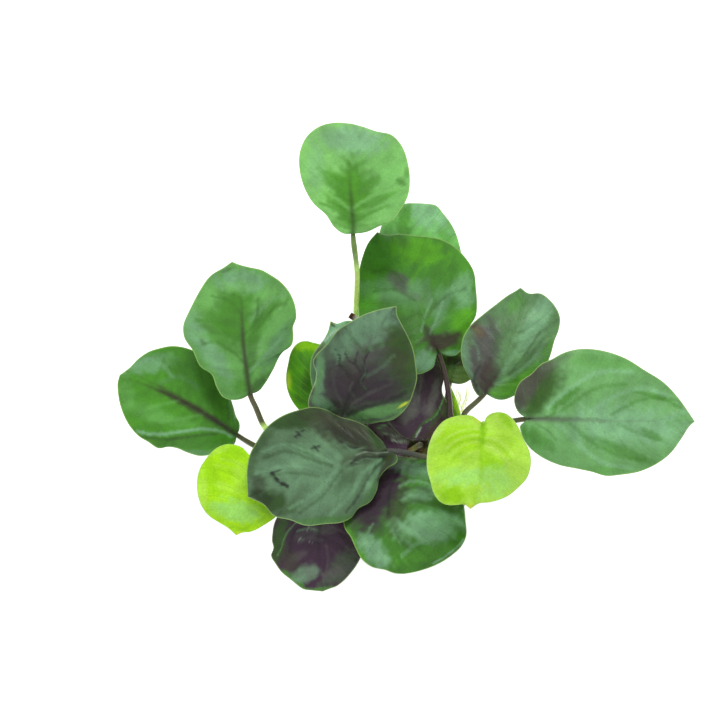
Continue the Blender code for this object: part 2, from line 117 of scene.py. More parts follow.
# Stalks, rhizome, roots and stone, in metres and shares of their sizes, as in the source of the
# solids, and how deep a stalk's foot sits in the rhizome
STALK_FOOT_RADIUS = 0.0015
STALK_MIDDLE_RADIUS = 0.0012
STALK_TOP_RADIUS = 0.0010
FOOT_RISE = 0.004
STALK_SINK = 0.0006
RHIZOME_RADIUS = 0.0042
RHIZOME_TIP = 0.12
ROOT_RADIUS = 0.0008
STONE_LENGTH = 0.079
STONE_DEPTH = 0.056
STONE_HEIGHT = 0.038
STONE_SLANT = 0.007
STONE_WAIST = 0.5
FOOT_REACH = 0.78
ROUNDING = 0.65
CROWNING = 0.85
STONE_LUMPS = [(0.04, 2, 0.6, 0), (0.045, 3, 2.1, 2), (0.03, 5, -0.7, -3), (0.015, 8, 0, 4)]
GAP = 0.0004

# A stalk's radius at shares of its length: flared at the foot, and a little swollen under the blade
STALK_RADII = [(0, 1.35 * STALK_FOOT_RADIUS), (0.04, 1.15 * STALK_FOOT_RADIUS),
               (0.15, STALK_FOOT_RADIUS), (0.4, STALK_MIDDLE_RADIUS), (0.84, STALK_TOP_RADIUS),
               (0.9, 1.12 * STALK_TOP_RADIUS), (0.95, 0.9 * STALK_TOP_RADIUS),
               (1, 0.3 * STALK_TOP_RADIUS)]

# How many leaf scars ring the rhizome
SCARS = 20

# The stone's skin, as height in millimetres and wavelength in millimetres, and the depth, place and
# size of the hollow at its right front, as angle and level
RIDGES, PITS, CRACKS, GRIT = (0.45, 17), (0.5, 6), (0.6, 26), (0.1, 2.4)
HOLLOW_DEPTH, HOLLOW_PLACE, HOLLOW_SIZE = 2.4, (5.83, 0.52), (0.12, 0.3)

# Roots, in millimetres: how far one winds, its hairs, and the strands of a free one
CROOK = 0.28
HAIR_COUNT, HAIR_LENGTH, HAIR_RADIUS = 220, 1.3, 0.05
STRANDS, STRAND_RADIUS, STRAND_WANDER = 4, 0.17, 0.75


def screen(red, green, blue):
    """A colour as it shows on a screen, 0 to 255, as light, less the gloss that lies over it."""
    value = np.array([red, green, blue]) / 255
    light = np.where(value <= 0.04045, value / 12.92, ((value + 0.055) / 1.055) ** 2.4)
    return np.maximum(light - GLOSS, 0.002)


# The plant's and the stone's colours, as a screen shows them. The sheens, the wet glint and the glows are
# painted light, and shadow is painted shade.
SHOWN = {
    "fresh": (112, 178, 92), "pale fresh": (134, 202, 110), "grass": (82, 148, 50),
    "grey green": (106, 150, 110), "mid green": (72, 128, 48), "bottle": (58, 88, 42),
    "sheen": (134, 184, 140), "dull sheen": (112, 152, 118), "slate": (88, 88, 84),
    "olive": (66, 70, 52), "shadow": (36, 36, 34), "middle dark": (72, 86, 68),
    "front green": (100, 134, 98), "right green": (96, 138, 88), "far green": (112, 166, 102),
    "grass light": (96, 148, 84), "wet glint": (186, 206, 190), "pale glow": (206, 240, 130),
    "plum": (64, 50, 62), "violet": (64, 47, 62), "umber": (64, 52, 50), "rust": (104, 60, 54),
    "lime": (166, 224, 40), "pale lime": (180, 230, 84), "mint": (160, 224, 116),
    "yolk green": (148, 208, 0), "spring": (92, 164, 20), "dry": (205, 225, 70),
    "margin": (176, 214, 120), "inner green": (104, 136, 70), "under green": (120, 160, 96),
    "under purple": (96, 92, 84),
    "stalk olive": (104, 104, 76), "stalk brown": (92, 86, 68), "stalk plum": (84, 68, 72),
    "stalk green": (112, 140, 76), "stalk glow": (214, 255, 140), "pale neck": (206, 212, 190),
    "cut brown": (74, 50, 36),
    "rhizome brown": (106, 78, 50), "rhizome green": (86, 92, 48), "rhizome orange": (138, 98, 62),
    "root tan": (186, 176, 126), "root green": (138, 142, 82), "root old": (104, 94, 54),
    "young root": (232, 238, 150), "young root pale": (246, 246, 200), "root brown": (120, 92, 56),
    "stone dark": (48, 47, 46), "stone grey": (84, 82, 78), "stone light": (120, 116, 108),
    "stone brown": (86, 70, 52), "stone fleck": (150, 146, 138), "film green": (62, 74, 40),
}
TINTS = {name: screen(*shown) for name, shown in SHOWN.items()}

# What a leaf has where its entry doesn't say otherwise
PLAIN_LEAF = dict(roll=0, route=[], quilt=1, mottle=1, lag=RIB_LAG, strokes=[], folds=[])

# Each leaf. base, tip, rib, left and right are pixels of the outline and the midrib, left and right
# as the leaf points. heights of base and tip, roll, arch and cup are as in the source of the solids,
# and so are foot and route, the stalk's place and angle on the rhizome and its points on the way.
# ground is the blade's own colour, and tone how light it is against the tints, set leaf by leaf for the
# light that reaches it, which paints light and shade into it: highest on the inner leaves that lie in
# shade. quilt how much of the bulging between veins it has, mottle how uneven its colour is, and lag
# its own RIB_LAG. midrib is its tint, its strength, and where along the blade it starts to fade and is
# gone. stalk_tints run from foot to blade; their glow tints are painted light shining through the
# stalk. marks are patches of painted sheen and painted glow, of painted shade in creases and where one
# leaf shades another, and of the blade's own bloom and flush: tint, centre in pixels, half length and
# half width in pixels, direction in degrees down from the right, and strength. strokes are veins,
# streaks, painted glints and painted shade in creases: tint, half width in pixels, strength, and
# pixels along the line. folds are creases: pixels along the crease, how steeply the blade falls away
# on their right hand as one walks along them (negative: rises), and how soft the crease is, in pixels.
LEAVES = {
    "tall_back": dict(
        kind="fresh", stalk="green", base=(353, 234), tip=(352, 123.5),
        rib=[(352, 210), (350, 180), (351, 155)],
        left=[(343, 233.5), (335, 228), (326, 215), (313, 203), (304, 187), (299.5, 170), (300, 151),
              (307, 136), (320, 126), (335, 122.5)],
        right=[(367, 232), (380, 226), (392, 221), (401, 209), (408, 196), (410, 180), (408, 163),
               (402, 146), (392, 135), (376, 131), (363, 126.5)],
        heights=(95, 85), roll=-3, arch=4.5, cup=-3, foot=(-4, 40),
        route=[(358, 400, 48.5), (357, 345, 59), (356, 316, 67), (357, 272, 83)],
        # The glow tints are painted light shining through the stalk, made brighter where it stands in
        # shade.
        stalk_tints=[(0, "stalk olive"), (0.25, "fresh"), (0.42, "stalk glow"), (0.6, "stalk glow"),
                     (0.68, "pale glow"), (0.76, "pale glow"), (0.82, "margin"), (0.88, "stalk green"),
                     (1, "stalk green")],
        ground="pale fresh", tone=0.94, midrib=("bottle", 0.72, 0.4, 0.8), quilt=0.5, mottle=0.7,
        marks=[("fresh", (374, 186), 36, 34, 80, 0.45), ("sheen", (354, 140), 32, 14, 6, 0.8),
               ("sheen", (316, 165), 9, 26, 4, 0.35), ("mid green", (351, 200), 30, 9, 92, 0.6),
               ("grass", (351, 190), 30, 17, 92, 1), ("spring", (351, 198), 24, 11, 92, 0.3),
               ("grass", (335, 182), 19, 7, 40, 0.8), ("grass", (337, 203), 18, 7, 35, 0.7),
               ("grass", (368, 186), 17, 7, -48, 0.8), ("grass", (372, 203), 18, 7, -35, 0.7),
               ("grass", (388, 194), 10, 4, -20, 0.5), ("grass", (352, 222), 20, 7, 0, 0.5),
               ("mid green", (401, 182), 5, 3, 30, 0.7), ("mid green", (407, 172), 3, 5, 0, 0.5)],
        strokes=[("grass", 1.6, 0.6, [(352, 222), (337, 210), (320, 203)]),
                 ("grass", 1.6, 0.6, [(353, 222), (372, 212), (388, 206)]),
                 ("pale fresh", 1.8, 0.5, [(352, 212), (333, 196), (314, 188)]),
                 ("pale fresh", 1.8, 0.5, [(353, 208), (374, 195), (394, 190)])]),
    "back_right": dict(
        kind="mature", stalk="brown", base=(412, 300), tip=(408, 203), rib=[(406, 250)],
        left=[(396, 298), (380, 282), (375, 258), (378, 240), (381, 227), (388, 213), (398, 205)],
        right=[(434, 298), (455, 284), (462, 262), (459, 243), (455, 231), (450, 222), (443, 213),
               (436.5, 205.5), (426, 203.5), (416, 203)],
        heights=(58, 48), arch=4, cup=-2.5, foot=(10, 35),
        route=[(408, 408, 46.5), (421, 380, 49.5), (423, 345, 53.5)],
        ground="fresh", tone=1.24, midrib=("grass", 0.5, 0.5, 0.9),
        marks=[("sheen", (428, 215), 24, 13, 30, 0.7), ("grass", (404, 222), 24, 7, 95, 0.8),
               ("grass", (441, 232), 14, 5, 50, 0.45), ("grass", (390, 226), 10, 4, 110, 0.4)]),
    "centre_top": dict(
        kind="mature", stalk="purple", base=(438, 352), tip=(377, 232),
        rib=[(430, 335), (420, 315), (408, 285), (396, 262)],
        left=[(435.5, 359), (434, 366), (428, 371), (420, 374), (405, 371), (390, 364), (375, 352),
              (362, 335), (358.6, 315), (358.7, 290), (360, 266), (363, 255), (368, 243)],
        right=[(446, 355.5), (455, 355.5), (461, 350), (464, 336), (470, 326), (475.5, 317), (477, 300),
               (476, 288), (474, 272), (465, 257), (455, 247), (443, 240), (430, 237), (415, 235.5),
               (400, 234), (388, 235)],
        heights=(67, 68), roll=6, arch=4, cup=-3, foot=(32, 60), route=[(450, 412, 55.8), (445, 374, 61.5)],
        ground="mid green", tone=1.14, midrib=("umber", 0.7, 0.16, 0.4), quilt=0.7,
        marks=[("spring", (418, 250), 28, 13, 10, 0.8), ("grass", (464, 268), 10, 26, 0, 0.65),
               ("dull sheen", (398, 291), 40, 14, 3, 0.45), ("sheen", (463, 290), 11, 18, 0, 0.55),
               ("slate", (399, 281), 12, 9, 60, 0.75), ("slate", (412, 296), 12, 4, 20, 0.35),
               ("bottle", (392, 322), 30, 18, 60, 0.4), ("dull sheen", (372, 340), 20, 9, 50, 0.4),
               ("grass", (372, 300), 8, 26, 0, 0.4), ("spring", (463, 320), 15, 11, -50, 0.7),
               ("dull sheen", (442, 308), 22, 6, -62, 0.5), ("umber", (446, 341), 23, 9, -6, 0.9),
               ("umber", (430, 338), 13, 5, 60, 0.6), ("dull sheen", (424, 361), 13, 11, 0, 0.85),
               ("dull sheen", (452, 353.5), 10, 3, -5, 0.7)],
        strokes=[("sheen", 1.3, 0.3, [(430, 334), (437, 318), (443, 302)]),
                 ("sheen", 1.2, 0.35, [(421, 332), (425, 316), (432, 300)]),
                 ("bottle", 1.5, 0.4, [(414, 300), (396, 290), (374, 292)]),
                 ("bottle", 1.4, 0.35, [(404, 282), (390, 270), (372, 272)]),
                 ("bottle", 1.5, 0.4, [(424, 320), (446, 296), (466, 288)]),
                 ("spring", 1.5, 0.4, [(409, 284), (425, 264), (446, 256)])]),
    "middle": dict(
        kind="dark", stalk="brown", base=(342, 420), tip=(396.5, 306),
        rib=[(349, 398), (361, 378), (366, 352)],
        left=[(325, 420), (312, 414), (308, 405), (309, 397), (312, 389), (315, 382), (316, 372),
              (313, 361), (316, 355), (322, 349), (328, 343), (332, 337), (339, 329), (350, 322),
              (365, 314), (383, 308.5)],
        right=[(367, 424), (380, 422), (392, 420), (402, 413), (410, 402), (414, 391), (417, 379),
               (416, 365), (413.5, 350), (408, 336), (401, 323), (397, 314)],
        heights=(57, 88), arch=4, cup=-2.5, foot=(-11, 100), route=[(342, 430, 53)],
        ground="middle dark", tone=1.02, midrib=("shadow", 0.5, 0.4, 0.9),
        marks=[("dull sheen", (374, 326), 32, 20, -25, 0.8), ("dull sheen", (345, 346), 22, 14, -35, 0.55),
               ("bottle", (403, 362), 36, 13, 85, 1), ("olive", (396, 352), 28, 10, 75, 0.7),
               ("bottle", (397, 338), 14, 7, 60, 0.6), ("shadow", (352, 396), 26, 14, -20, 0.3),
               ("plum", (356, 386), 36, 24, -20, 0.75), ("shadow", (362, 394), 30, 9, -18, 0.3),
               ("umber", (352, 374), 20, 10, 60, 0.35), ("plum", (336, 376), 20, 9, 70, 0.45),
               ("plum", (387, 392), 20, 9, -12, 0.65), ("slate", (364, 354), 22, 12, -40, 0.5),
               ("grey green", (319, 376), 26, 5, 95, 0.85), ("grey green", (322, 402), 14, 6, 40, 0.7),
               ("grass light", (380, 412), 30, 6, -12, 0.9), ("dry", (403, 405), 6, 1.3, -32, 1)],
        strokes=[("dull sheen", 0.7, 0.35, [(366, 390), (361, 381), (366, 371), (363, 362)]),
                 ("shadow", 0.9, 0.6, [(367, 394), (362, 382), (367, 372), (364, 363), (370, 350)]),
                 ("slate", 0.8, 0.5, [(356, 398), (350, 390), (353, 381)]),
                 ("shadow", 1.1, 0.75, [(335, 350), (340, 357), (339, 364), (345, 370), (349, 377)]),
                 ("shadow", 0.9, 0.6, [(345, 352), (348, 360), (354, 364)]),
                 ("shadow", 1, 0.6, [(358, 352), (355, 362), (360, 372)]),
                 ("dull sheen", 0.7, 0.4, [(333, 349), (338, 357), (337, 364)]),
                 ("bottle", 2, 0.5, [(366, 350), (384, 344), (402, 346)]),
                 ("dull sheen", 1.8, 0.2, [(366, 376), (382, 367), (394, 355)]),
                 ("dull sheen", 1.8, 0.35, [(370, 350), (366, 334), (370, 318)]),
                 ("bottle", 1.6, 0.4, [(364, 352), (352, 338), (346, 328)]),
                 ("slate", 1.6, 0.4, [(352, 404), (372, 392), (392, 384)]),
                 ("slate", 1.4, 0.35, [(345, 408), (336, 392), (332, 372)]),
                 ("shadow", 2.2, 0.6, [(346, 416), (366, 407), (386, 402), (405, 393)]),
                 ("grass light", 1.2, 0.7, [(318, 356), (321, 372), (316, 388), (314, 402)]),
                 ("grass light", 1, 0.7, [(346, 420), (368, 422), (390, 419), (404, 410)])],
        folds=[([(346, 420), (370, 411), (388, 407), (408, 398)], -0.35, 2.5),
               ([(326, 352), (323, 375), (320, 405)], 0.25, 2.5)]),
    "behind_middle": dict(
        kind="mature", stalk="brown", base=(340, 416), tip=(330.5, 321), rib=[(334, 370)],
        left=[(324, 412), (313, 390), (310, 370), (312, 356), (319, 345.5), (324, 339), (328, 331)],
        right=[(354, 406), (362, 384), (364, 350), (360, 330), (352, 321), (345, 321), (337, 323.5)],
        heights=(49, 69), arch=2, cup=-1, foot=(-16, 60),
        ground="grey green", tone=1.33, midrib=("bottle", 0.4, 0.3, 0.8),
        marks=[("sheen", (337, 330), 14, 6, -50, 0.8), ("rust", (319, 350), 8, 2.4, -55, 0.4),
               ("olive", (316, 356), 10, 4, -65, 0.5), ("bottle", (314, 372), 16, 5, 90, 0.5),
               ("stalk green", (330, 323), 4, 3, 0, 0.9), ("olive", (333.5, 325.5), 2.4, 1.6, 30, 0.8)],
        strokes=[("wet glint", 1.2, 0.5, [(325, 340), (334, 332), (344, 328)])]),
    "young_middle": dict(
        kind="young", stalk="green", base=(316, 424), tip=(308, 341), rib=[(310, 385)],
        left=[(306, 418), (299, 410), (294, 404), (288, 392), (286, 377), (288, 364), (291, 352),
              (295, 345.5), (301, 341.5)],
        right=[(332, 416), (342, 394), (340, 366), (329, 349), (319, 344), (313, 342.5)],
        heights=(45.5, 52), arch=2, cup=1, foot=(-21, 45),
        ground="spring", tone=0.9, midrib=("mid green", 0.4, 0.3, 0.8), quilt=0.6, mottle=0.6,
        marks=[("yolk green", (307, 346), 17, 5, 5, 0.95), ("mid green", (306, 392), 18, 12, 60, 0.75),
               ("bottle", (307, 378), 15, 5, 100, 0.6), ("yolk green", (289, 380), 12, 3, 85, 0.6),
               ("dry", (288.5, 380), 7, 2, 85, 0.6), ("mid green", (305, 362), 9, 5, 60, 0.5),
               ("bottle", (300, 399), 6, 4, 40, 0.4)],
        strokes=[("rust", 1, 0.35, [(287, 372), (289, 358), (295, 348)])]),
    "upper_left": dict(
        kind="fresh", stalk="brown", base=(250, 394), tip=(232, 261.5),
        rib=[(248, 380), (244, 350), (242, 320), (241, 292)],
        left=[(244, 398), (236, 400), (223, 397), (216.5, 387), (212, 375), (200, 366), (193, 351),
              (184, 337), (183, 327), (189, 311), (194, 301), (200, 290), (210, 276), (225, 266.5)],
        right=[(256, 392.5), (260, 390), (264, 385), (273, 370), (282, 353), (292, 344.5), (293.5, 336),
               (293, 327), (296, 319), (295, 305), (288, 290), (281, 282), (271, 275), (262, 270),
               (249, 267), (238, 264)],
        heights=(66, 67), roll=4, arch=5, cup=-3, foot=(-28, 75), route=[(264, 426, 55), (256, 408, 61)],
        # The margin and stalk glow tints a little above the foot are a painted glow of light through the
        # stalk.
        stalk_tints=[(0, "stalk brown"), (0.36, "stalk olive"), (0.43, "margin"), (0.54, "stalk glow"),
                     (0.6, "stalk olive"), (1, "stalk brown")],
        ground="fresh", tone=0.83, midrib=("olive", 0.85, 0.5, 0.9), quilt=0.4, mottle=0.7,
        marks=[("sheen", (240, 281), 26, 11, 6, 0.75), ("pale fresh", (277, 302), 14, 13, 60, 0.5),
               ("sheen", (192, 322), 8, 20, 8, 0.5), ("grass", (236, 318), 30, 19, 86, 0.95),
               ("grass", (263, 320), 30, 7, -55, 0.8), ("grass", (212, 318), 20, 7, 40, 0.7),
               ("grass", (218, 338), 18, 5, 45, 0.6), ("mid green", (253, 346), 40, 6, 100, 0.7),
               ("mid green", (232, 330), 16, 8, 60, 0.4), ("sheen", (211, 353), 32, 9, 52, 0.7),
               ("grey green", (277, 345), 26, 8, -60, 0.6), ("bottle", (258, 384), 12, 5, -50, 0.6),
               ("grass", (241, 385), 9, 7, 60, 0.7), ("bottle", (210, 329), 9, 3, 30, 0.3),
               ("pale fresh", (205, 300), 9, 20, 35, 0.4), ("pale fresh", (240, 287), 20, 5, -4, 0.4),
               ("bottle", (203, 342), 4, 2, 30, 0.5), ("bottle", (227, 270), 7, 2, -20, 0.4)],
        strokes=[("sheen", 2.6, 0.25, [(250, 320), (260, 311), (272, 300), (286, 294)]),
                 ("bottle", 1, 0.35, [(270, 312), (278, 304), (288, 300)]),
                 ("bottle", 0.9, 0.3, [(282, 330), (287, 328)]),
                 ("mid green", 1.5, 0.6, [(243, 336), (253, 326), (258, 310), (258, 299)]),
                 ("mid green", 1.3, 0.6, [(246, 340), (260, 326), (274, 308), (286, 303)]),
                 ("grass", 1.6, 0.6, [(244, 346), (228, 330), (212, 322), (196, 320)]),
                 ("mid green", 1.5, 0.5, [(246, 364), (230, 350), (214, 342), (202, 345)]),
                 ("sheen", 1.6, 0.4, [(250, 372), (265, 356), (280, 340)]),
                 ("mid green", 1.3, 0.5, [(241, 312), (228, 300), (212, 296)])]),
    "far_left": dict(
        kind="fresh", stalk="brown", base=(237, 435), tip=(119.5, 375),
        rib=[(225, 427), (210, 417), (180, 400), (150, 387)],
        left=[(235, 443), (225, 451), (212, 454.5), (200, 456), (187, 452.5), (176, 448), (168, 447),
              (159, 448.5), (148, 442), (139, 436.5), (131, 428), (121, 408), (118, 394), (117.5, 383)],
        right=[(239.5, 429), (239.5, 423.5), (236, 416), (233.5, 407), (231, 399), (229, 388), (220, 372),
               (205, 357), (191, 349.5), (180, 346.5), (170, 346), (160, 348), (149, 351.5), (139, 358),
               (129, 368)],
        heights=(45, 42), roll=-12, arch=5.5, cup=-3, foot=(-35, 20),
        route=[(262, 449, 44.5), (248, 442, 44.3)],
        ground="grass", tone=1.03, midrib=("umber", 0.85, 0.6, 1), quilt=0.5, mottle=0.7,
        marks=[("sheen", (150, 364), 26, 9, -14, 0.55), ("umber", (190, 406), 44, 4.5, 30, 0.55),
               ("fresh", (127, 395), 16, 8, 80, 0.5), ("fresh", (148, 412), 26, 9, 20, 0.4),
               ("bottle", (211, 386), 36, 11, 62, 0.6), ("mid green", (180, 372), 26, 8, 40, 0.4),
               ("mid green", (190, 443), 46, 6, -2, 0.75), ("grey green", (190, 453), 30, 3.5, 3, 0.6),
               ("fresh", (170, 420), 26, 5, 12, 0.35)],
        strokes=[("sheen", 1.5, 0.8, [(138, 431), (150, 434), (165, 434), (185, 431), (205, 429),
                     (220, 431), (234, 437)]),
                 ("bottle", 1.5, 0.6, [(140, 437), (165, 439), (190, 436), (215, 434)]),
                 ("sheen", 2, 0.4, [(136, 366), (148, 360), (162, 365), (172, 376)]),
                 ("grey green", 2.4, 0.25, [(160, 383), (180, 377), (198, 388)]),
                 ("mid green", 1.4, 0.5, [(175, 398), (186, 380), (186, 362)]),
                 ("mid green", 1.4, 0.5, [(150, 387), (160, 372), (164, 358)]),
                 ("fresh", 1.5, 0.4, [(205, 413), (186, 418), (160, 422)]),
                 ("fresh", 1.4, 0.4, [(180, 400), (160, 405), (140, 412)])],
        folds=[([(138, 431), (165, 434), (185, 431), (205, 429), (220, 430), (232, 434),
                   (244, 438)], 0.4, 1.5)]),
    "front_left": dict(
        kind="dark", stalk="brown", base=(388, 451), tip=(247.5, 497),
        rib=[(368, 454), (345, 461), (320, 470), (290, 481), (265, 491)],
        left=[(396, 454), (397.5, 461), (388, 468), (380, 477), (377, 490), (370, 502), (358, 509),
              (351, 518), (343, 522), (325, 524), (305, 525.5), (290, 520), (274, 516), (263, 504.5),
              (255, 500.5)],
        right=[(383, 442), (378, 437), (366, 426), (352, 420), (338, 416), (327, 410), (312, 407),
               (298, 410), (280, 417), (266, 428), (257, 441), (250, 454), (247, 468), (247, 486)],
        heights=(63, 54), roll=-14, arch=5, cup=-3, foot=(28, 125),
        route=[(440, 457, 55), (426, 457, 58.5), (404, 452, 62)],
        stalk_tints=[(0, "stalk brown"), (0.4, "stalk olive"), (0.62, "slate"), (1, "slate")],
        ground="front green", tone=0.88, midrib=("olive", 0.4, 0.2, 0.5),
        marks=[("sheen", (300, 470), 46, 26, -12, 0.35), ("sheen", (330, 500), 30, 14, -30, 0.3),
               ("bottle", (300, 416), 46, 12, -12, 0.95), ("bottle", (262, 440), 20, 7, -50, 0.6),
               ("olive", (346, 430), 42, 16, 22, 0.95), ("shadow", (352, 438), 26, 6, 24, 0.45),
               ("bottle", (379, 441), 14, 7, 40, 0.8), ("bottle", (270, 501), 24, 11, 12, 0.95),
               ("shadow", (262, 497), 12, 6, 30, 0.4), ("olive", (258, 482), 10, 7, 70, 0.6),
               ("bottle", (303, 450), 18, 3, 28, 0.55), ("grass", (330, 520), 36, 4, -4, 0.5),
               ("olive", (386, 463), 18, 7, -62, 0.9), ("shadow", (380, 462), 18, 3.5, -60, 0.8),
               ("olive", (362, 457), 20, 7, -14, 0.5), ("shadow", (356, 462), 10, 3, -30, 0.4),
               ("sheen", (372, 478), 20, 4, -58, 0.6), ("grass light", (368, 498), 18, 4, -56, 0.6),
               ("bottle", (251, 462), 6, 16, 8, 0.5), ("bottle", (345, 482), 16, 5, -50, 0.35)],
        strokes=[("shadow", 1.8, 0.9, [(272, 473), (278, 481), (287, 486)]),
                 ("shadow", 1, 0.7, [(274, 472), (280, 470)]),
                 ("shadow", 1.2, 0.8, [(295, 437), (303, 431)]),
                 ("shadow", 0.9, 0.7, [(297, 431), (301, 438)]),
                 ("shadow", 1.2, 0.8, [(312, 449), (320, 446)]),
                 ("shadow", 0.8, 0.7, [(314, 445), (318, 451)]),
                 ("wet glint", 0.6, 0.4, [(388, 452), (376, 453), (366, 452), (356, 455)]),
                 ("dull sheen", 0.8, 0.5, [(374, 460), (366, 458), (358, 462), (350, 461)]),
                 ("shadow", 1.3, 0.6, [(386, 456), (372, 457), (360, 457), (351, 463)]),
                 ("shadow", 1.2, 0.6, [(372, 451), (356, 448), (344, 444), (336, 438)]),
                 ("dull sheen", 0.8, 0.5, [(362, 448), (352, 450), (344, 444)]),
                 ("sheen", 1.5, 0.4, [(262, 452), (285, 444), (310, 452), (334, 463)]),
                 ("bottle", 1.8, 0.5, [(264, 458), (286, 451), (310, 459), (332, 466)]),
                 ("sheen", 1.5, 0.35, [(256, 474), (285, 466), (318, 470)]),
                 ("bottle", 1.5, 0.3, [(258, 480), (287, 473), (318, 476)]),
                 ("sheen", 1.8, 0.4, [(290, 508), (316, 492), (336, 470)]),
                 ("bottle", 1.5, 0.4, [(300, 513), (324, 494), (342, 470)]),
                 ("sheen", 2, 0.45, [(330, 515), (350, 496), (364, 472), (380, 460)]),
                 ("shadow", 1.4, 0.5, [(346, 512), (357, 498), (364, 486), (374, 470), (384, 460)])],
        folds=[([(350, 510), (366, 490), (380, 470), (388, 452)], 0.35, 3),
               ([(385, 452), (345, 440), (310, 424), (275, 428), (250, 446)], 0.12, 4)]),
    "young_lower_left": dict(
        kind="young", stalk="green", base=(270, 444), tip=(236, 535.5), rib=[(255, 490)],
        left=[(284, 456), (293, 484), (284, 508), (274, 518.5), (266, 524), (250, 532), (242, 533)],
        right=[(262, 452), (252, 461), (247.5, 458), (246.5, 452.5), (243, 448), (236, 445), (228, 444),
               (219, 446.5), (211, 452.5), (205, 460), (200, 468), (197.5, 477), (197, 486), (198, 496),
               (202, 507), (209, 516), (218, 522), (229, 529)],
        heights=(54, 40), arch=3, cup=-1.5, foot=(-32, 135), route=[(282, 461, 49), (275, 451, 51.5)],
        ground="lime", tone=1.19, midrib=("yolk green", 0.4, 0.4, 0.9), quilt=1.2, mottle=0.3, lag=0.8,
        marks=[("yolk green", (212, 478), 17, 8, 75, 0.75), ("yolk green", (234, 453), 14, 7, -20, 0.7),
               ("yolk green", (265, 506), 17, 8, 45, 0.9), ("yolk green", (236, 530), 10, 4, 20, 0.7),
               ("mint", (236, 511), 26, 10, 10, 0.8), ("pale lime", (202, 492), 5, 24, 0, 0.7),
               ("pale lime", (240, 478), 8, 18, 0, 0.5), ("pale lime", (225, 488), 10, 5, 30, 0.5),
               ("dry", (238, 532), 9, 2, 10, 0.7), ("pale lime", (220, 450), 14, 3, -25, 0.6)],
        strokes=[("yolk green", 1.2, 0.5, [(240, 500), (226, 492), (210, 492)]),
                 ("yolk green", 1.2, 0.5, [(246, 482), (230, 472), (214, 470)]),
                 ("pale lime", 0.9, 0.5, [(244, 478), (230, 468), (214, 465)]),
                 ("pale lime", 0.9, 0.5, [(244, 468), (232, 461), (219, 459)]),
                 ("yolk green", 1.6, 0.7, [(232, 531), (240, 530), (252, 525), (266, 516)])]),
    "bottom": dict(
        kind="purple", stalk="brown", base=(326, 490), tip=(323, 591.5), rib=[(319, 530), (320, 560)],
        left=[(344, 494), (364, 515), (366, 536), (361, 557), (355, 567.5), (350, 574), (343, 581.5),
              (336, 586.5), (329, 589)],
        right=[(306, 494), (286, 506), (274, 524), (272.5, 533), (272, 541), (273.5, 548), (271, 555.5),
               (275, 563), (283, 573.5), (290, 579), (296, 584), (303, 589), (313, 590.5)],
        heights=(46, 31), arch=4, cup=-2.5, foot=(-17, 150),
        ground="violet", tone=1.42, midrib=("shadow", 0.5, 0.5, 1), mottle=0.7,
        marks=[("bottle", (280, 536), 28, 7, 100, 0.9), ("mid green", (295, 582), 20, 4, 38, 0.75),
               ("slate", (312, 532), 20, 6, -12, 0.35), ("slate", (328, 511), 28, 8, 6, 0.45),
               ("middle dark", (344, 566), 20, 12, -45, 0.7), ("dull sheen", (305, 574), 13, 8, -22, 0.85),
               ("slate", (310, 572), 9, 8, -40, 0.55), ("slate", (333, 574), 15, 6, -25, 0.6),
               ("slate", (325, 529), 12, 5, 0, 0.4), ("slate", (299, 556), 9, 4, -20, 0.4),
               ("olive", (289, 560), 16, 8, 60, 0.5), ("middle dark", (330, 582), 14, 5, -20, 0.5),
               ("mid green", (326, 589), 20, 2.5, -4, 0.6)],
        strokes=[("dull sheen", 0.8, 0.35, [(306, 513), (313, 509), (320, 512)]),
                 ("dull sheen", 0.8, 0.35, [(330, 508), (338, 512), (345, 519)]),
                 ("slate", 0.9, 0.5, [(312, 520), (313, 527), (318, 531)]),
                 ("grass light", 0.7, 0.55, [(298, 521), (289, 530), (284, 539), (281, 549), (276, 557)]),
                 ("wet glint", 0.6, 0.3, [(298, 542), (300, 538), (303, 540)]),
                 ("wet glint", 0.5, 0.3, [(309, 541), (312, 543)]),
                 ("wet glint", 0.5, 0.25, [(306, 532), (309, 527), (308, 524)]),
                 ("dull sheen", 1, 0.45, [(298, 531), (308, 528), (318, 531)]),
                 ("slate", 1.6, 0.35, [(300, 542), (312, 538), (322, 541)]),
                 ("shadow", 1.4, 0.5, [(296, 528), (291, 540), (290, 552)]),
                 ("slate", 1.2, 0.3, [(326, 545), (328, 560), (325, 575)])],
        folds=[([(298, 520), (288, 530), (283, 538), (280, 548), (274, 558)], -0.5, 2)]),
    "bottom_right": dict(
        kind="dark", stalk="brown", base=(412, 458), tip=(404, 574),
        rib=[(404, 480), (399, 505), (397, 530), (400, 555)],
        left=[(430, 461), (452, 472), (463, 500), (465.5, 520), (466, 537), (461, 547), (453, 554.5),
              (443, 561.5), (434, 566), (426, 569), (413, 572.5)],
        right=[(398, 456), (380, 460), (362, 472), (348, 492), (342, 509), (343.5, 523), (345, 529),
               (350, 536), (356, 549), (362, 559.5), (372, 567), (385, 570), (395, 573.5)],
        heights=(53, 54), roll=6, arch=4, cup=-2.5, foot=(19, 155),
        ground="mid green", tone=1.05, midrib=("bottle", 0.35, 0.4, 0.9), quilt=0.5,
        marks=[("shadow", (366, 505), 24, 10, -70, 0.3), ("plum", (380, 488), 48, 22, -60, 1),
               ("umber", (396, 512), 22, 9, 105, 0.55), ("plum", (372, 520), 16, 8, 60, 0.5),
               ("spring", (356, 546), 18, 4, 60, 0.55), ("dull sheen", (424, 470), 28, 7, 6, 0.8),
               ("dull sheen", (424, 494), 20, 7, -10, 0.6), ("sheen", (430, 526), 34, 15, -4, 0.85),
               ("grass", (428, 554), 34, 7, -12, 0.75), ("sheen", (374, 551), 20, 10, 50, 0.85),
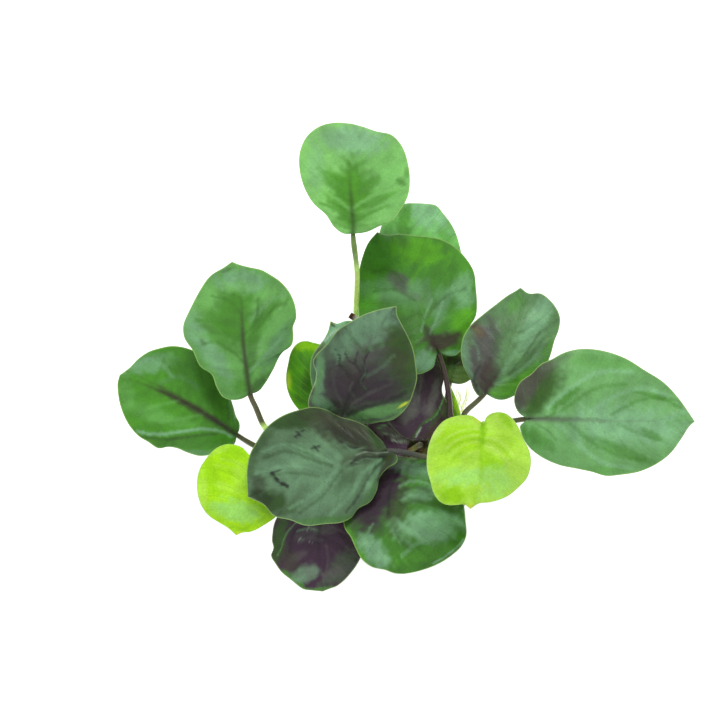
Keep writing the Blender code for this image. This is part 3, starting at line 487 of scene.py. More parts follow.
               ("bottle", (448, 505), 20, 6, 15, 0.6), ("bottle", (404, 540), 16, 6, 60, 0.4),
               ("slate", (455, 555), 15, 2.6, -42, 0.9)],
        strokes=[("sheen", 1, 0.7, [(434, 563), (447, 555), (458, 546), (464, 539)]),
                 ("sheen", 1.6, 0.4, [(400, 486), (412, 481), (425, 483), (438, 490)]),
                 ("bottle", 1.5, 0.6, [(402, 491), (415, 487), (430, 491)]),
                 ("sheen", 1.6, 0.4, [(401, 500), (414, 495), (430, 499)]),
                 ("bottle", 1.5, 0.55, [(402, 505), (416, 501), (434, 506)]),
                 ("sheen", 1.5, 0.5, [(398, 530), (412, 518), (430, 513)]),
                 ("dull sheen", 1.1, 0.5, [(373, 524), (368, 533), (370, 542)]),
                 ("shadow", 1.6, 0.5, [(400, 470), (390, 490), (388, 515)]),
                 ("sheen", 2.2, 0.3, [(402, 556), (414, 545), (432, 538)])],
        folds=[([(434, 563), (447, 556), (458, 547), (465, 540)], 0.9, 1)]),
    "young_right": dict(
        kind="young", stalk="green", base=(484, 424), tip=(470.5, 509),
        rib=[(481, 445), (482, 463), (480, 482)],
        left=[(486.5, 417), (491, 413.5), (498, 412), (505, 413), (511, 417), (519, 428), (524, 440),
              (529.5, 451), (531, 464), (527, 478), (518, 488), (508, 496), (499, 500), (489, 502.5),
              (479, 503.5)],
        right=[(480, 421), (471, 415.5), (464, 415), (456, 416), (445, 420), (436, 429), (430, 441),
               (427, 455), (427, 469), (430.5, 482), (434, 494), (441, 502.5), (448, 505), (456, 505),
               (464, 504.5)],
        heights=(80, 90), arch=4, cup=-2, foot=(35, 105), route=[(470, 440, 66)],
        ground="pale lime", tone=1, midrib=("yolk green", 0.75, 0.5, 1), quilt=0.6, mottle=0.25,
        marks=[("lime", (462, 438), 28, 13, 10, 0.85), ("yolk green", (491, 461), 13, 6, 35, 0.9),
               ("yolk green", (503, 463), 9, 3.5, 40, 0.5), ("yolk green", (484, 466), 6, 6, 60, 0.5),
               ("yolk green", (451, 494), 17, 9, 12, 1), ("yolk green", (506, 421), 9, 5, 50, 0.8),
               ("yolk green", (474, 493), 4, 8, 0, 0.5), ("yolk green", (483, 431), 13, 4, 92, 0.8),
               ("lime", (508, 446), 18, 12, 60, 0.5), ("lime", (446, 462), 16, 20, 0, 0.4),
               ("yolk green", (462, 457), 20, 6, 8, 0.4), ("dry", (478, 421), 7, 2, 40, 0.5),
               ("mint", (474, 476), 38, 9, -4, 0.75), ("mint", (500, 487), 20, 9, -25, 0.6),
               ("pale lime", (517, 462), 9, 20, 15, 0.8), ("pale lime", (494, 420), 8, 5, 0, 0.6),
               ("pale glow", (438, 432), 12, 3, -50, 0.4), ("dry", (470, 507), 4, 3, 0, 0.9)],
        strokes=[("pale glow", 0.8, 0.4, [(479, 429), (467, 429), (455, 433), (444, 440)]),
                 ("yolk green", 0.7, 0.6, [(479, 432), (467, 433), (455, 437), (445, 444)]),
                 ("pale glow", 0.8, 0.4, [(480, 435), (468, 436), (457, 440), (446, 448)]),
                 ("yolk green", 0.8, 0.7, [(480, 438), (468, 440), (457, 444), (447, 452)]),
                 ("pale glow", 0.7, 0.35, [(480, 442), (470, 443), (459, 448), (450, 456)]),
                 ("yolk green", 0.8, 0.6, [(481, 446), (470, 448), (460, 453), (452, 460)]),
                 ("pale glow", 0.7, 0.3, [(481, 451), (471, 453), (462, 458)]),
                 ("pale glow", 0.8, 0.4, [(485, 437), (495, 439), (505, 446), (514, 456)]),
                 ("yolk green", 0.8, 0.6, [(485, 440), (494, 443), (504, 450), (512, 460)]),
                 ("pale glow", 0.8, 0.45, [(485, 445), (494, 449), (502, 456), (509, 465)]),
                 ("yolk green", 0.8, 0.5, [(485, 451), (493, 456), (500, 464)]),
                 ("lime", 0.8, 0.5, [(488, 474), (496, 480), (500, 490)]),
                 ("lime", 0.8, 0.5, [(484, 476), (489, 484), (490, 496)]),
                 ("lime", 0.8, 0.5, [(476, 478), (470, 486), (467, 496)]),
                 ("pale glow", 1.2, 0.6, [(430, 482), (427, 468), (427, 455), (430, 441), (437, 429)]),
                 ("spring", 1.5, 0.6, [(482, 424), (483, 434), (482, 443)])]),
    "right_middle": dict(
        kind="dark", stalk="brown", base=(484, 394), tip=(520.5, 287.5),
        rib=[(490, 385), (503, 364), (511, 342), (521, 315)],
        left=[(479, 396), (474.5, 391), (470, 379), (463, 365), (461, 352), (463, 338), (470, 326),
              (481, 316), (495, 305), (509, 294.5), (516, 290.5)],
        right=[(489, 395), (493, 398), (502, 400), (514, 396), (532, 383), (545, 368), (551, 354),
               (554.5, 341), (559, 329), (560, 317), (556, 307.5), (550, 300), (541, 293.5), (528, 293)],
        heights=(70, 75), roll=9, arch=4, cup=-2.5, foot=(40, 20), route=[(465, 413, 61)],
        ground="right green", tone=1.03, midrib=("umber", 0.75, 0.28, 0.5),
        marks=[("sheen", (536, 322), 32, 11, -62, 0.65), ("grass", (517, 303), 14, 7, -55, 0.5),
               ("slate", (482, 357), 38, 16, -76, 0.95), ("umber", (487, 377), 19, 9, -76, 0.8),
               ("dull sheen", (467, 360), 28, 4, 80, 0.5), ("spring", (517, 383), 32, 10, -32, 0.7),
               ("bottle", (524, 366), 28, 5, -48, 0.45), ("rust", (479, 331), 9, 4.5, 50, 0.55),
               ("umber", (474, 324), 8, 4, -40, 0.6), ("bottle", (504, 330), 20, 6, -60, 0.35),
               ("spring", (548, 348), 12, 5, -70, 0.4)],
        strokes=[("sheen", 2, 0.35, [(503, 372), (515, 352), (530, 330), (545, 304)]),
                 ("bottle", 1.4, 0.5, [(508, 376), (524, 356), (540, 332)]),
                 ("sheen", 2, 0.3, [(496, 385), (516, 374), (534, 358), (546, 340)]),
                 ("shadow", 1.4, 0.5, [(478, 392), (474, 378), (480, 366)]),
                 ("dull sheen", 1.1, 0.5, [(472, 340), (478, 350), (479, 360)])]),
    "far_right": dict(
        kind="fresh", stalk="brown", base=(528, 419), tip=(695, 421.5),
        rib=[(560, 419), (610, 420), (655, 420)],
        left=[(519, 413), (514.5, 404), (514.5, 395), (520, 382), (532, 373), (541, 364), (552, 359),
              (563, 353), (579, 349), (592, 349), (612, 353), (628, 359.5), (643, 369), (664, 382.5),
              (677, 396), (688, 411)],
        right=[(524, 422), (520, 426), (521, 432), (528, 446), (539, 455.5), (559, 465), (578, 469),
               (592, 472), (606, 476), (620, 475), (640, 471.5), (655, 465), (670, 454), (682, 438),
               (690, 426)],
        heights=(74, 64), roll=12, arch=6.5, cup=-3.5, foot=(42, 75),
        route=[(490, 428, 61), (513, 421, 70)],
        ground="far green", tone=1.19, midrib=("slate", 0.6, 0.2, 0.6), quilt=0.6, mottle=0.7,
        marks=[("sheen", (625, 424), 62, 20, 3, 0.7), ("grass", (602, 362), 44, 8, 8, 0.35),
               ("bottle", (545, 388), 32, 13, -50, 0.75), ("slate", (528, 384), 32, 15, -52, 1),
               ("olive", (531, 386), 30, 13, -52, 0.55), ("olive", (540, 372), 18, 9, -40, 0.4),
               ("bottle", (541, 395), 24, 8, -62, 0.9), ("slate", (556, 362), 16, 6, -30, 0.35),
               ("mid green", (566, 398), 18, 4, -38, 0.75), ("mid green", (650, 395), 26, 3, 12, 0.6),
               ("mid green", (625, 452), 34, 5, 24, 0.55), ("mid green", (652, 435), 12, 4, 30, 0.6),
               ("mid green", (537, 438), 18, 8, 40, 0.65), ("grass", (606, 470), 24, 4, 0, 0.35)],
        strokes=[("slate", 2, 0.35, [(530, 419), (560, 420), (585, 420), (604, 421)]),
                 ("slate", 1.2, 0.2, [(600, 421), (625, 421), (655, 421)]),
                 ("sheen", 2.2, 0.5, [(548, 408), (570, 388), (600, 372), (632, 372)]),
                 ("mid green", 2, 0.5, [(560, 412), (582, 396), (605, 386), (625, 384)]),
                 ("sheen", 2.2, 0.5, [(590, 412), (615, 396), (645, 388), (668, 396)]),
                 ("mid green", 1.8, 0.5, [(612, 414), (636, 402), (660, 398), (680, 408)]),
                 ("mid green", 2, 0.45, [(570, 424), (592, 442), (620, 456), (645, 460)]),
                 ("sheen", 2.2, 0.45, [(560, 424), (580, 446), (606, 464), (630, 468)]),
                 ("mid green", 1.6, 0.3, [(618, 424), (640, 434), (660, 440)]),
                 ("mid green", 1.3, 0.6, [(545, 419), (556, 410), (556, 402)]),
                 ("bottle", 1.3, 0.3, [(536, 424), (548, 431), (556, 440)])]),
    "inner_right": dict(
        kind="mature", stalk="brown", base=(449.5, 382.5), tip=(457, 310), rib=[(457, 345)],
        left=[(445, 379), (441, 370), (435, 352), (440, 325)],
        right=[(461, 384), (470, 380), (475, 362), (470, 332)],
        heights=(56, 58), arch=2, cup=-1, foot=(26, 30), route=[(442, 420, 46.5), (446.8, 400, 50.5)],
        ground="inner green", tone=1, midrib=("bottle", 0.3, 0.3, 0.8),
        marks=[("umber", (456, 361), 14, 5, 0, 0.85), ("stalk green", (464, 378), 8, 5, -30, 0.6)],
        strokes=[("sheen", 0.8, 0.35, [(449, 366), (454, 366), (459, 363)])]),
    "inner_centre": dict(
        kind="purple", stalk="brown", base=(427, 439), tip=(418, 345), rib=[(417, 395)],
        left=[(408, 439), (390, 424), (380, 398), (382, 368), (400, 348)],
        right=[(436, 436), (444, 431), (450, 423), (451, 416), (448, 404), (445.5, 399), (443, 395),
               (442, 388), (443.5, 381), (443.5, 375), (441.5, 366), (438, 353)],
        heights=(51.5, 57.5), roll=13, arch=2, cup=-1.5, foot=(24, 70),
        # Its tone paints light into a leaf that lies in shade.
        ground="plum", tone=1.9, midrib=("shadow", 0, 0.3, 0.8), quilt=0.1,
        marks=[("slate", (417, 392), 34, 5, 98, 0.6), ("slate", (409, 412), 14, 7, -60, 0.7),
               ("slate", (434, 396), 20, 4.5, 104, 0.6), ("slate", (426, 409), 10, 6, 10, 0.45),
               ("plum", (424, 388), 22, 2.5, 100, 0.8), ("plum", (414, 428), 14, 8, -50, 0.9),
               ("umber", (436, 432), 18, 8, -50, 0.9), ("olive", (446, 409), 14, 4, 100, 0.8),
               ("bottle", (436, 419), 12, 2.5, -50, 0.35)],
        strokes=[("grass light", 0.7, 0.6, [(444, 397), (441, 405), (438, 412), (433, 418), (426, 422)]),
                 ("bottle", 1.3, 0.7, [(438, 410), (432, 417), (424, 422), (418, 430), (414, 437)]),
                 ("wet glint", 0.8, 0.35, [(421, 428), (418, 433), (416, 437)])]),
    "inner_front": dict(
        kind="purple", stalk="brown", base=(406, 451), tip=(365, 436), rib=[(386, 442)],
        left=[(398, 460), (384, 462), (370, 452)],
        right=[(411, 438), (403, 420), (388, 410), (371, 417)],
        heights=(49.5, 48.5), arch=1.5, cup=-1, foot=(20, 105),
        stalk_tints=[(0, "rhizome brown"), (0.3, "plum"), (0.55, "root green"), (0.75, "rhizome orange"),
                     (1, "rhizome brown")],
        # Its high tone paints light into a leaf that lies deep in shade.
        ground="plum", tone=4.4, midrib=("shadow", 0.3, 0.3, 0.8), quilt=0.15,
        marks=[("slate", (394, 434), 18, 6, 20, 0.7), ("slate", (402, 441), 9, 2.2, 12, 0.5)],
        strokes=[("wet glint", 0.7, 0.25, [(392, 440), (400, 442), (406, 441)]),
                 ("wet glint", 0.6, 0.2, [(384, 433), (392, 436), (401, 436)]),
                 ("dull sheen", 1, 0.4, [(378, 428), (388, 424), (398, 428)])]),
}

# What the stalks look like from foot to blade: shares of the length and tints. The pale glow on green
# stalks is painted light shining through them.
STALK_TINTS = {
    "green": [(0.0, "stalk olive"), (0.25, "fresh"), (0.5, "pale fresh"), (0.72, "pale glow"),
              (0.86, "pale lime"), (0.94, "grass"), (1.0, "mid green")],
    "brown": [(0.0, "stalk brown"), (0.3, "stalk olive"), (0.75, "stalk olive"), (1.0, "stalk brown")],
    "purple": [(0.0, "stalk brown"), (0.5, "stalk plum"), (1.0, "stalk brown")],
}

# The rolled young leaf and the cut stub of an old stalk: routes in pixels and height, and radii
ROLLED_ROUTE = [(457, 416, 50), (454, 400, 53), (449.5, 385, 55.5)]
ROLLED_RADII = [1.7, 1.8, 1.8, 1.3, 0.7, 0.2]
ROLLED_FOOT = (36, 45)
STUB_ROUTE = [(361, 400, 58), (361, 345, 72), (358, 321, 76), (350, 315, 77.5)]
STUB_RADII = [1.3, 1.1, 1.0, 1.0, 1.1, 1.2]
STUB_FOOT = (-5, 88)
STUB_TINTS = [(0.0, "umber"), (0.4, "olive"), (0.86, "olive"), (0.9, "pale neck"), (0.95, "pale neck"),
              (0.975, "cut brown"), (1.0, "cut brown")]

# The rhizome's middle line over the stone, in millimetres
RHIZOME_LINE = [(-38, -7, 43), (-28, -5, 42.6), (-14, -1, 43), (4, 2, 43), (20, 3, 43),
                (32, 4, 42.8), (45, 5, 43.5)]

# Roots: place on the rhizome, side, drift round the stone in degrees, and the height of the end
ROOTS = [(-26, -1, -10, 6), (-10, -1, 8, 3), (6, -1, -6, 8), (20, -1, -26, 4), (30, -1, -6, 14),
         (-22, 1, 12, 9), (-4, 1, -8, 4), (14, 1, 6, 7), (30, 1, -10, 3)]
ROOT_RINGS = 10
FREE_ROOTS = [[(456, 418, 47), (459, 404, 49), (458, 388, 51)],
              [(462, 419, 47), (464, 404, 49), (468, 387, 51)]]


# Lines of sight, curves, colours and soft noise

def sights(pixels):
    """Unit lines of sight from the eye through these pixels."""
    offset = (np.asarray(pixels, float) - VIEW_MIDDLE) * PIXEL
    line = VIEW_DISTANCE * AWAY + offset[..., :1] * ACROSS - offset[..., 1:] * UPWARD
    return line / np.linalg.norm(line, axis=-1, keepdims=True)


def seen_at(pixels, height):
    """Points that these pixels show at a height over the ground."""
    line = sights(pixels)
    return EYE + line * ((np.asarray(height) - EYE[2]) / line[..., 2])[..., None]


def route_points(route):
    """Points of a route of pixels, each with its height in millimetres."""
    route = np.array(route, float)
    return seen_at(route[:, :2], route[:, 2] * MM)


def smooth_curve(points, steps=16):
    """A smooth curve through the points, spaced by its chords, as closely spaced points."""
    points = np.asarray(points, float)
    chords = np.linalg.norm(np.diff(points, axis=0), axis=1)
    run = np.concatenate([[0], np.cumsum(chords)])
    slopes = np.gradient(points, run, axis=0)
    u = np.linspace(0, 1, steps, endpoint=False)[None, :, None]
    span = chords[:, None, None]
    curve = (
        (2 * u**3 - 3 * u**2 + 1) * points[:-1, None]
        + (u**3 - 2 * u**2 + u) * span * slopes[:-1, None]
        + (3 * u**2 - 2 * u**3) * points[1:, None]
        + (u**3 - u**2) * span * slopes[1:, None]
    )
    return np.vstack([curve.reshape(-1, points.shape[1]), points[-1:]])


def along(curve, fractions):
    """Points at these fractions of a curve's length."""
    steps = np.linalg.norm(np.diff(curve, axis=0), axis=1)
    run = np.concatenate([[0], np.cumsum(steps)]) / steps.sum()
    return np.stack([np.interp(fractions, run, axis) for axis in curve.T], axis=-1)


def around(count):
    """Angles of evenly spaced points round a ring."""
    return np.linspace(0, 2 * math.pi, count, endpoint=False)


def spread(count):
    """Fractions from 0 to 1 that lie about twice as close at both ends as in the middle."""
    even = np.linspace(0, 1, count)
    return 0.5 * even + 0.25 * (1 - np.cos(math.pi * even))


def soft_step(low, high, value):
    """0 at low, 1 at high, and a smooth S between them."""
    share = np.clip((value - low) / (high - low), 0, 1)
    return share * share * (3 - 2 * share)


def swell(points, wavelength, seed):
    """Soft bumps, mostly -1 to 1: nine sine waves of about this length in random directions."""
    draw = np.random.default_rng(seed)
    ways = draw.normal(size=(9, points.shape[-1]))
    ways *= draw.uniform(0.7, 1.5, (9, 1)) / np.linalg.norm(ways, axis=1, keepdims=True)
    starts = draw.uniform(0, 2 * math.pi, 9)
    return np.sin(points @ ways.T * (2 * math.pi / wavelength) + starts).sum(-1) / 3


def tints_along(stops, run):
    """Tints at fractions of a length, between named stops."""
    places = [stop[0] for stop in stops]
    colours = np.array([TINTS[stop[1]] for stop in stops])
    return np.stack([np.interp(run, places, channel) for channel in colours.T], axis=-1)


def lay_over(under, name, share, light=1.0):
    """A share of a named tint, made lighter or darker, over other colours."""
    return under + (TINTS[name] * light - under) * share[..., None]


# Putting shapes into meshes

def add_piece(node, slot, points, faces, skins, face_skin=None, **values):
    """A closed piece that stands for a node, its faces turned outwards, with values at its points."""
    mesh = bpy.data.meshes.new(node + "_dressed")
    mesh.from_pydata(points.tolist(), [], faces)
    mesh.calc_loop_triangles()
    corners = np.empty(3 * len(mesh.loop_triangles), np.int32)
    mesh.loop_triangles.foreach_get("vertices", corners)
    if np.linalg.det(points[corners.reshape(-1, 3)]).sum() < 0:
        mesh.flip_normals()
    mesh.shade_smooth()
    mesh.set_sharp_from_angle(angle=math.radians(50))
    for skin in skins:
        mesh.materials.append(skin)
    if face_skin is not None:
        mesh.polygons.foreach_set("material_index", np.asarray(face_skin, np.int32))
    for title, value in values.items():
        colour = title == "Tint"
        layer = mesh.attributes.new(title, "FLOAT_COLOR" if colour else "FLOAT_VECTOR", "POINT")
        value = np.asarray(value, np.float32).reshape(-1, 3)
        if colour:
            value = np.hstack([value, np.ones((len(value), 1), np.float32)])
        layer.data.foreach_set("color" if colour else "vector", value.ravel())
    piece = bpy.data.objects.new(mesh.name, mesh)
    bpy.context.scene.collection.objects.link(piece)
    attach(piece, "root")
    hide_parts(node)
    return piece


def tube_faces(count, rings, sides):
    """Faces of some closed tubes: the points of all rings, and then each tube's two end points."""
    index = np.arange(count * rings * sides).reshape(count, rings, sides)
    beside = np.roll(index, -1, axis=2)
    quads = np.stack([index[:, :-1], beside[:, :-1], beside[:, 1:], index[:, 1:]], -1).reshape(-1, 4)
    start = np.broadcast_to(index.size + 2 * np.arange(count)[:, None], (count, sides))
    first = np.stack([start, beside[:, 0], index[:, 0]], -1).reshape(-1, 3)
    last = np.stack([start + 1, index[:, -1], beside[:, -1]], -1).reshape(-1, 3)
    return quads.tolist() + first.tolist() + last.tolist()


def tubes(paths, radii, sides, dent=0.0):
    """Tubes round some paths at once: points and faces.

    paths is an array of tubes by rings by 3, and radii has one value for each ring, or for each side
    of it. A dent draws a tube's last point back into it, by a share of the radius there.
    """
    paths = np.asarray(paths, float)
    radii = np.broadcast_to(np.atleast_3d(np.asarray(radii, float)), paths.shape[:2] + (sides,))
    ahead = np.gradient(paths, axis=1)
    ahead /= np.linalg.norm(ahead, axis=2, keepdims=True)
    steady = np.eye(3)[np.argmin(np.abs(paths[:, -1] - paths[:, 0]), axis=1)][:, None]
    side = np.cross(ahead, steady)
    side /= np.linalg.norm(side, axis=2, keepdims=True)
    other = np.cross(ahead, side)
    turn = around(sides)[:, None]
    ring = side[:, :, None] * np.cos(turn) + other[:, :, None] * np.sin(turn)
    rings = paths[:, :, None] + ring * radii[..., None]
    last = paths[:, -1] - ahead[:, -1] * dent * radii[:, -1].mean(-1, keepdims=True)
    ends = np.stack([paths[:, 0], last], axis=1)
    points = np.vstack([rings.reshape(-1, 3), ends.reshape(-1, 3)])
    return points, tube_faces(len(paths), paths.shape[1], sides)


def with_ends(values):
    """Values for a tube's rings of points, and those of its two end points after them."""
    return np.vstack([values.reshape(-1, 3), values[0, :1], values[-1, :1]])


def ring_values(values, sides):
    """One value for each ring of a tube, given to every point of the ring and to the end points."""
    return with_ends(np.repeat(values[:, None], sides, axis=1))


# Blades

def on_blade_plane(leaf, line):
    """Where these lines of sight meet the plane that a blade lies on."""
    base, tip = seen_at([leaf["base"], leaf["tip"]], np.array(leaf["heights"]) * MM)
    spine = (tip - base) / np.linalg.norm(tip - base)
    upright = np.array([0, 0, 1]) - spine[2] * spine
    upright /= np.linalg.norm(upright)
    # A raised left side tips the normal to the right.
    roll = math.radians(leaf["roll"])
    normal = math.cos(roll) * upright + math.sin(roll) * np.cross(spine, upright)
    return EYE + line * (((base - EYE) @ normal) / (line @ normal))[..., None]


def blade_pixels(leaf, t, s):
    """Pixels of a blade's grid, and how far it is from the midrib to the edge, in millimetres.

    t runs from base to tip along the edges, and s from the left edge, -1, over the midrib to the
    right edge, 1. A row goes from the midrib out to the edge, bowed back as the side veins are.
    """
    base, tip = leaf["base"], leaf["tip"]
    rib = along(smooth_curve([base, *leaf["rib"], tip]), t ** leaf["lag"])[:, None]
    left = along(smooth_curve([base, *leaf["left"], tip]), t)[:, None]
    right = along(smooth_curve([base, *leaf["right"], tip]), t)[:, None]
    edge = np.where(s[:, None] < 0, left, right)
    out = np.abs(s)[:, None]
    bow = VEIN_BOW * out * (1 - out) * np.sin(math.pi * t)[:, None, None]
    pixels = rib + (edge - rib) * out - bow * np.subtract(tip, base)
    return pixels, np.linalg.norm(edge - rib, axis=-1) * PIXEL / MM


def off_line(pixels, line, run_on):
    """How far each pixel lies from a line, more than 0 on its right hand.

    The line may run on straight past its ends.
    """
    line = smooth_curve(line, 5)
    start, step = line[:-1], np.diff(line, axis=0)
    gone = pixels[..., None, :] - start
    share = (gone * step).sum(-1) / (step**2).sum(-1)
    order = np.arange(len(step))
    low = np.where((order == 0) & run_on, -99.0, 0.0)
    high = np.where((order == len(step) - 1) & run_on, 99.0, 1.0)
    away = gone - np.clip(share, low, high)[..., None] * step
    far = (away**2).sum(-1)
    nearest = np.argmin(far, axis=-1)[..., None]
    turned = step[:, 0] * gone[..., 1] - step[:, 1] * gone[..., 0]
    side = np.sign(np.take_along_axis(turned, nearest, -1))[..., 0]
    return side * np.sqrt(np.take_along_axis(far, nearest, -1))[..., 0]


def blade_rise(leaf, seed, t, s, pixels, phase):
    """How far a blade's skin stands out of its plane towards the eye, in millimetres.

    It arches along the midrib and falls to the edges. Between side veins it bulges a little, it has
    long soft waves and a rippled margin, and past a crease it falls away evenly.
    """
    t = t[:, None]
    fullness = np.sqrt(4 * t * (1 - t))
    rise = leaf["arch"] * 4 * t * (1 - t) + leaf["cup"] * s**2 * fullness
    room = (np.sin(math.pi * np.clip(np.abs(s), 0, 1)) ** 0.7) * np.sin(math.pi * t) ** 0.5
    rise = rise + leaf["quilt"] * QUILT * room * (np.abs(np.sin(math.pi * phase)) ** 0.8 - 0.5)
    rise = rise + WAVE * swell(pixels, WAVE_LENGTH, seed) * np.sin(math.pi * t) ** 0.5
    rise = rise + RIPPLE * s**4 * swell(pixels, RIPPLE_LENGTH, seed + 1) * np.sin(math.pi * t) ** 0.5
    for line, slope, softness in leaf["folds"]:
        past = softness * np.logaddexp(0, off_line(pixels, line, True) / softness)
        rise = rise - slope * past * PIXEL / MM
    return rise


def blade_tint(leaf, seed, t, s, pixels, phase, from_rib):
    """The blade's colour at each point: its own, streaked along the side veins and made lighter or darker
    by its tone for the light that reaches it, under frayed patches of painted sheen, painted glow, painted
    shade and its own bloom and flush, thin strokes of veins, painted glints and painted shade, and a
    midrib that fades towards the tip."""
    streaks = np.stack([phase, 0.8 * s + 0 * phase], axis=-1)
    uneven = CLOUDS[0] * swell(pixels, CLOUDS[1], seed + 2)
    uneven = uneven + STREAKS[0] * swell(streaks, STREAKS[1], seed + 4)
    # The tone makes the whole blade lighter or darker for the light that reaches it: painted light,
    # strongest on the inner leaves that lie in shade.
    light = ((1 + leaf["mottle"] * uneven) * leaf["tone"])[..., None]
    tint = TINTS[leaf["ground"]] * light
    # Patches of painted sheen, painted glow and painted shade, and of the blade's own bloom and flush.
    for order, (name, centre, long, wide, way, strength) in enumerate(leaf["marks"]):
        way = math.radians(way)
        gone = pixels - np.array(centre, float)
        ahead = gone @ np.array([math.cos(way), math.sin(way)]) / long
        aside = gone @ np.array([-math.sin(way), math.cos(way)]) / wide
        fray = PATCH_STREAKS[0] * swell(streaks, PATCH_STREAKS[1], seed + 20 + order)
        fray = fray + PATCH_FRAY[0] * swell(pixels, PATCH_FRAY[1], seed + 60 + order)
        share = strength * soft_step(*PATCH_EDGE, np.hypot(ahead, aside) + fray)
        tint = lay_over(tint, name, share, light)
    # Strokes of veins and streaks, painted glints, and painted shade in creases.
    for order, (name, wide, strength, line) in enumerate(leaf["strokes"]):
        off = np.abs(off_line(pixels, line, False)) / wide
        off = off + STROKE_FRAY[0] * swell(pixels, STROKE_FRAY[1], seed + 90 + order)
        tint = lay_over(tint, name, strength * soft_step(*STROKE_EDGE, off), light)
    name, strength, fading, gone_by = leaf["midrib"]
    width = RIB_WIDTH * (1 - 0.5 * t[:, None])
    share = strength * np.exp(-((from_rib / width) ** 2)) * soft_step(gone_by, fading, t)[:, None]
    return np.clip(lay_over(tint, name, share, light), 0, 1)


def make_blade(name, leaf, seed):
    """A thin closed blade: an upper and a lower skin that meet at the edges, the base and the tip."""
    outline = np.array([leaf["base"], *leaf["left"], *leaf["right"], leaf["tip"]], float)
    axis = np.subtract(leaf["tip"], leaf["base"])
    long = np.linalg.norm(axis)
    wide = np.ptp(outline @ np.array([-axis[1], axis[0]])) / long
    rows, columns = int(long / GRID_STEP), int(wide / GRID_STEP / 2)
    t = spread(rows + 2)
    half_row = spread(columns + 1)
    s = np.concatenate([-half_row[::-1], half_row[1:]])
    pixels, half = blade_pixels(leaf, t, s)
    lag = VEIN_SWEEP * np.abs(s) ** 1.3 * np.sqrt(4 * t * (1 - t))[:, None]
    phase = SIDE_VEINS * (t[:, None] - lag) + VEIN_STAGGER * np.tanh(s / STAGGER_WIDTH)
    phase = phase + VEIN_WAVER[0] * swell(pixels, VEIN_WAVER[1], seed + 3)
    line = sights(pixels)
    flat = on_blade_plane(leaf, line)
    rise = blade_rise(leaf, seed, t, s, pixels, phase)
    from_rib = np.abs(s) * half
    thick = MARGIN_THICKNESS + (RIB_THICKNESS - MARGIN_THICKNESS) * np.exp(-((from_rib / SHOULDER) ** 2))
    ridge = (1 - t[:, None]) ** 0.6 * np.exp(-((from_rib / RIB_HALF_WIDTH) ** 2))
    edge = (np.abs(s) == 1)[None, :]
    above = rise + np.where(edge, 0, thick / 2 - RIB_GROOVE * ridge)
    below = rise - np.where(edge, 0, thick / 2 + RIB_KEEL * ridge)
    upper = (flat - line * above[..., None] * MM)[1:-1]
    lower = (flat - line * below[..., None] * MM)[1:-1, 1:-1]
    ends = flat[[0, -1], 0] - line[[0, -1], 0] * rise[[0, -1], :1] * MM
    points = np.vstack([ends, upper.reshape(-1, 3), lower.reshape(-1, 3)])

    top = 2 + np.arange(upper[..., 0].size).reshape(rows, -1)
    under = top.copy()
    under[:, 1:-1] = 2 + top.size + np.arange(lower[..., 0].size).reshape(rows, -1)
    faces = []
    for sheet, turn in ((top, 1), (under, -1)):
        quads = np.stack([sheet[:-1, :-1], sheet[:-1, 1:], sheet[1:, 1:], sheet[1:, :-1]], -1)
        first = np.stack([np.zeros_like(sheet[0, 1:]), sheet[0, 1:], sheet[0, :-1]], -1)
        last = np.stack([np.ones_like(sheet[0, 1:]), sheet[-1, :-1], sheet[-1, 1:]], -1)
        faces += quads.reshape(-1, 4)[:, ::turn].tolist()
        faces += first[:, ::turn].tolist() + last[:, ::turn].tolist()
    face_skin = np.repeat([0, 1], len(faces) // 2)

    def at_points(value):
        inner = value[1:-1, 1:-1].reshape(-1, 3)
        return np.vstack([value[[0, -1], 0], value[1:-1].reshape(-1, 3), inner])

    tint = at_points(blade_tint(leaf, seed, t, s, pixels, phase, from_rib))
    where = at_points(np.stack([phase, from_rib, (1 - np.abs(s)) * half], axis=-1))
    skins = [blade_skin(leaf["kind"]), underside_skin(leaf["kind"])]
    slot = "leaf_" + leaf["kind"]
    return add_piece("leaf_" + name, slot, points, faces, skins, face_skin, Tint=tint, Where=where)


# Stalks, rhizome, rolled leaf and stub

def rhizome_radius(fraction):
    """The rhizome is thickest in its middle and rounds off towards both ends, to a share of that."""
    return RHIZOME_RADIUS * np.maximum(np.sqrt(1 - np.abs(2 * fraction - 1) ** 5), RHIZOME_TIP)


def foot_on_rhizome(place, angle):
    """The rhizome's middle at a place along X, the way out at an angle over its top, and its radius."""
    line = smooth_curve(np.array(RHIZOME_LINE, float) * MM)
    at = int(np.argmin(np.abs(line[:, 0] - place * MM)))
    angle = math.radians(angle)
    radius = rhizome_radius(at / (len(line) - 1))
    return line[at], np.array([0, math.cos(angle), math.sin(angle)]), radius


def stalk_path(foot, route, ends=()):
    """From the rhizome's skin along the route, and on to the end points where there are some."""
    centre, out, radius = foot_on_rhizome(*foot)
    points = [centre + out * (radius - STALK_SINK), centre + out * (radius + FOOT_RISE)]
    if route:
        points += list(route_points(route))
    return smooth_curve([*points, *ends])


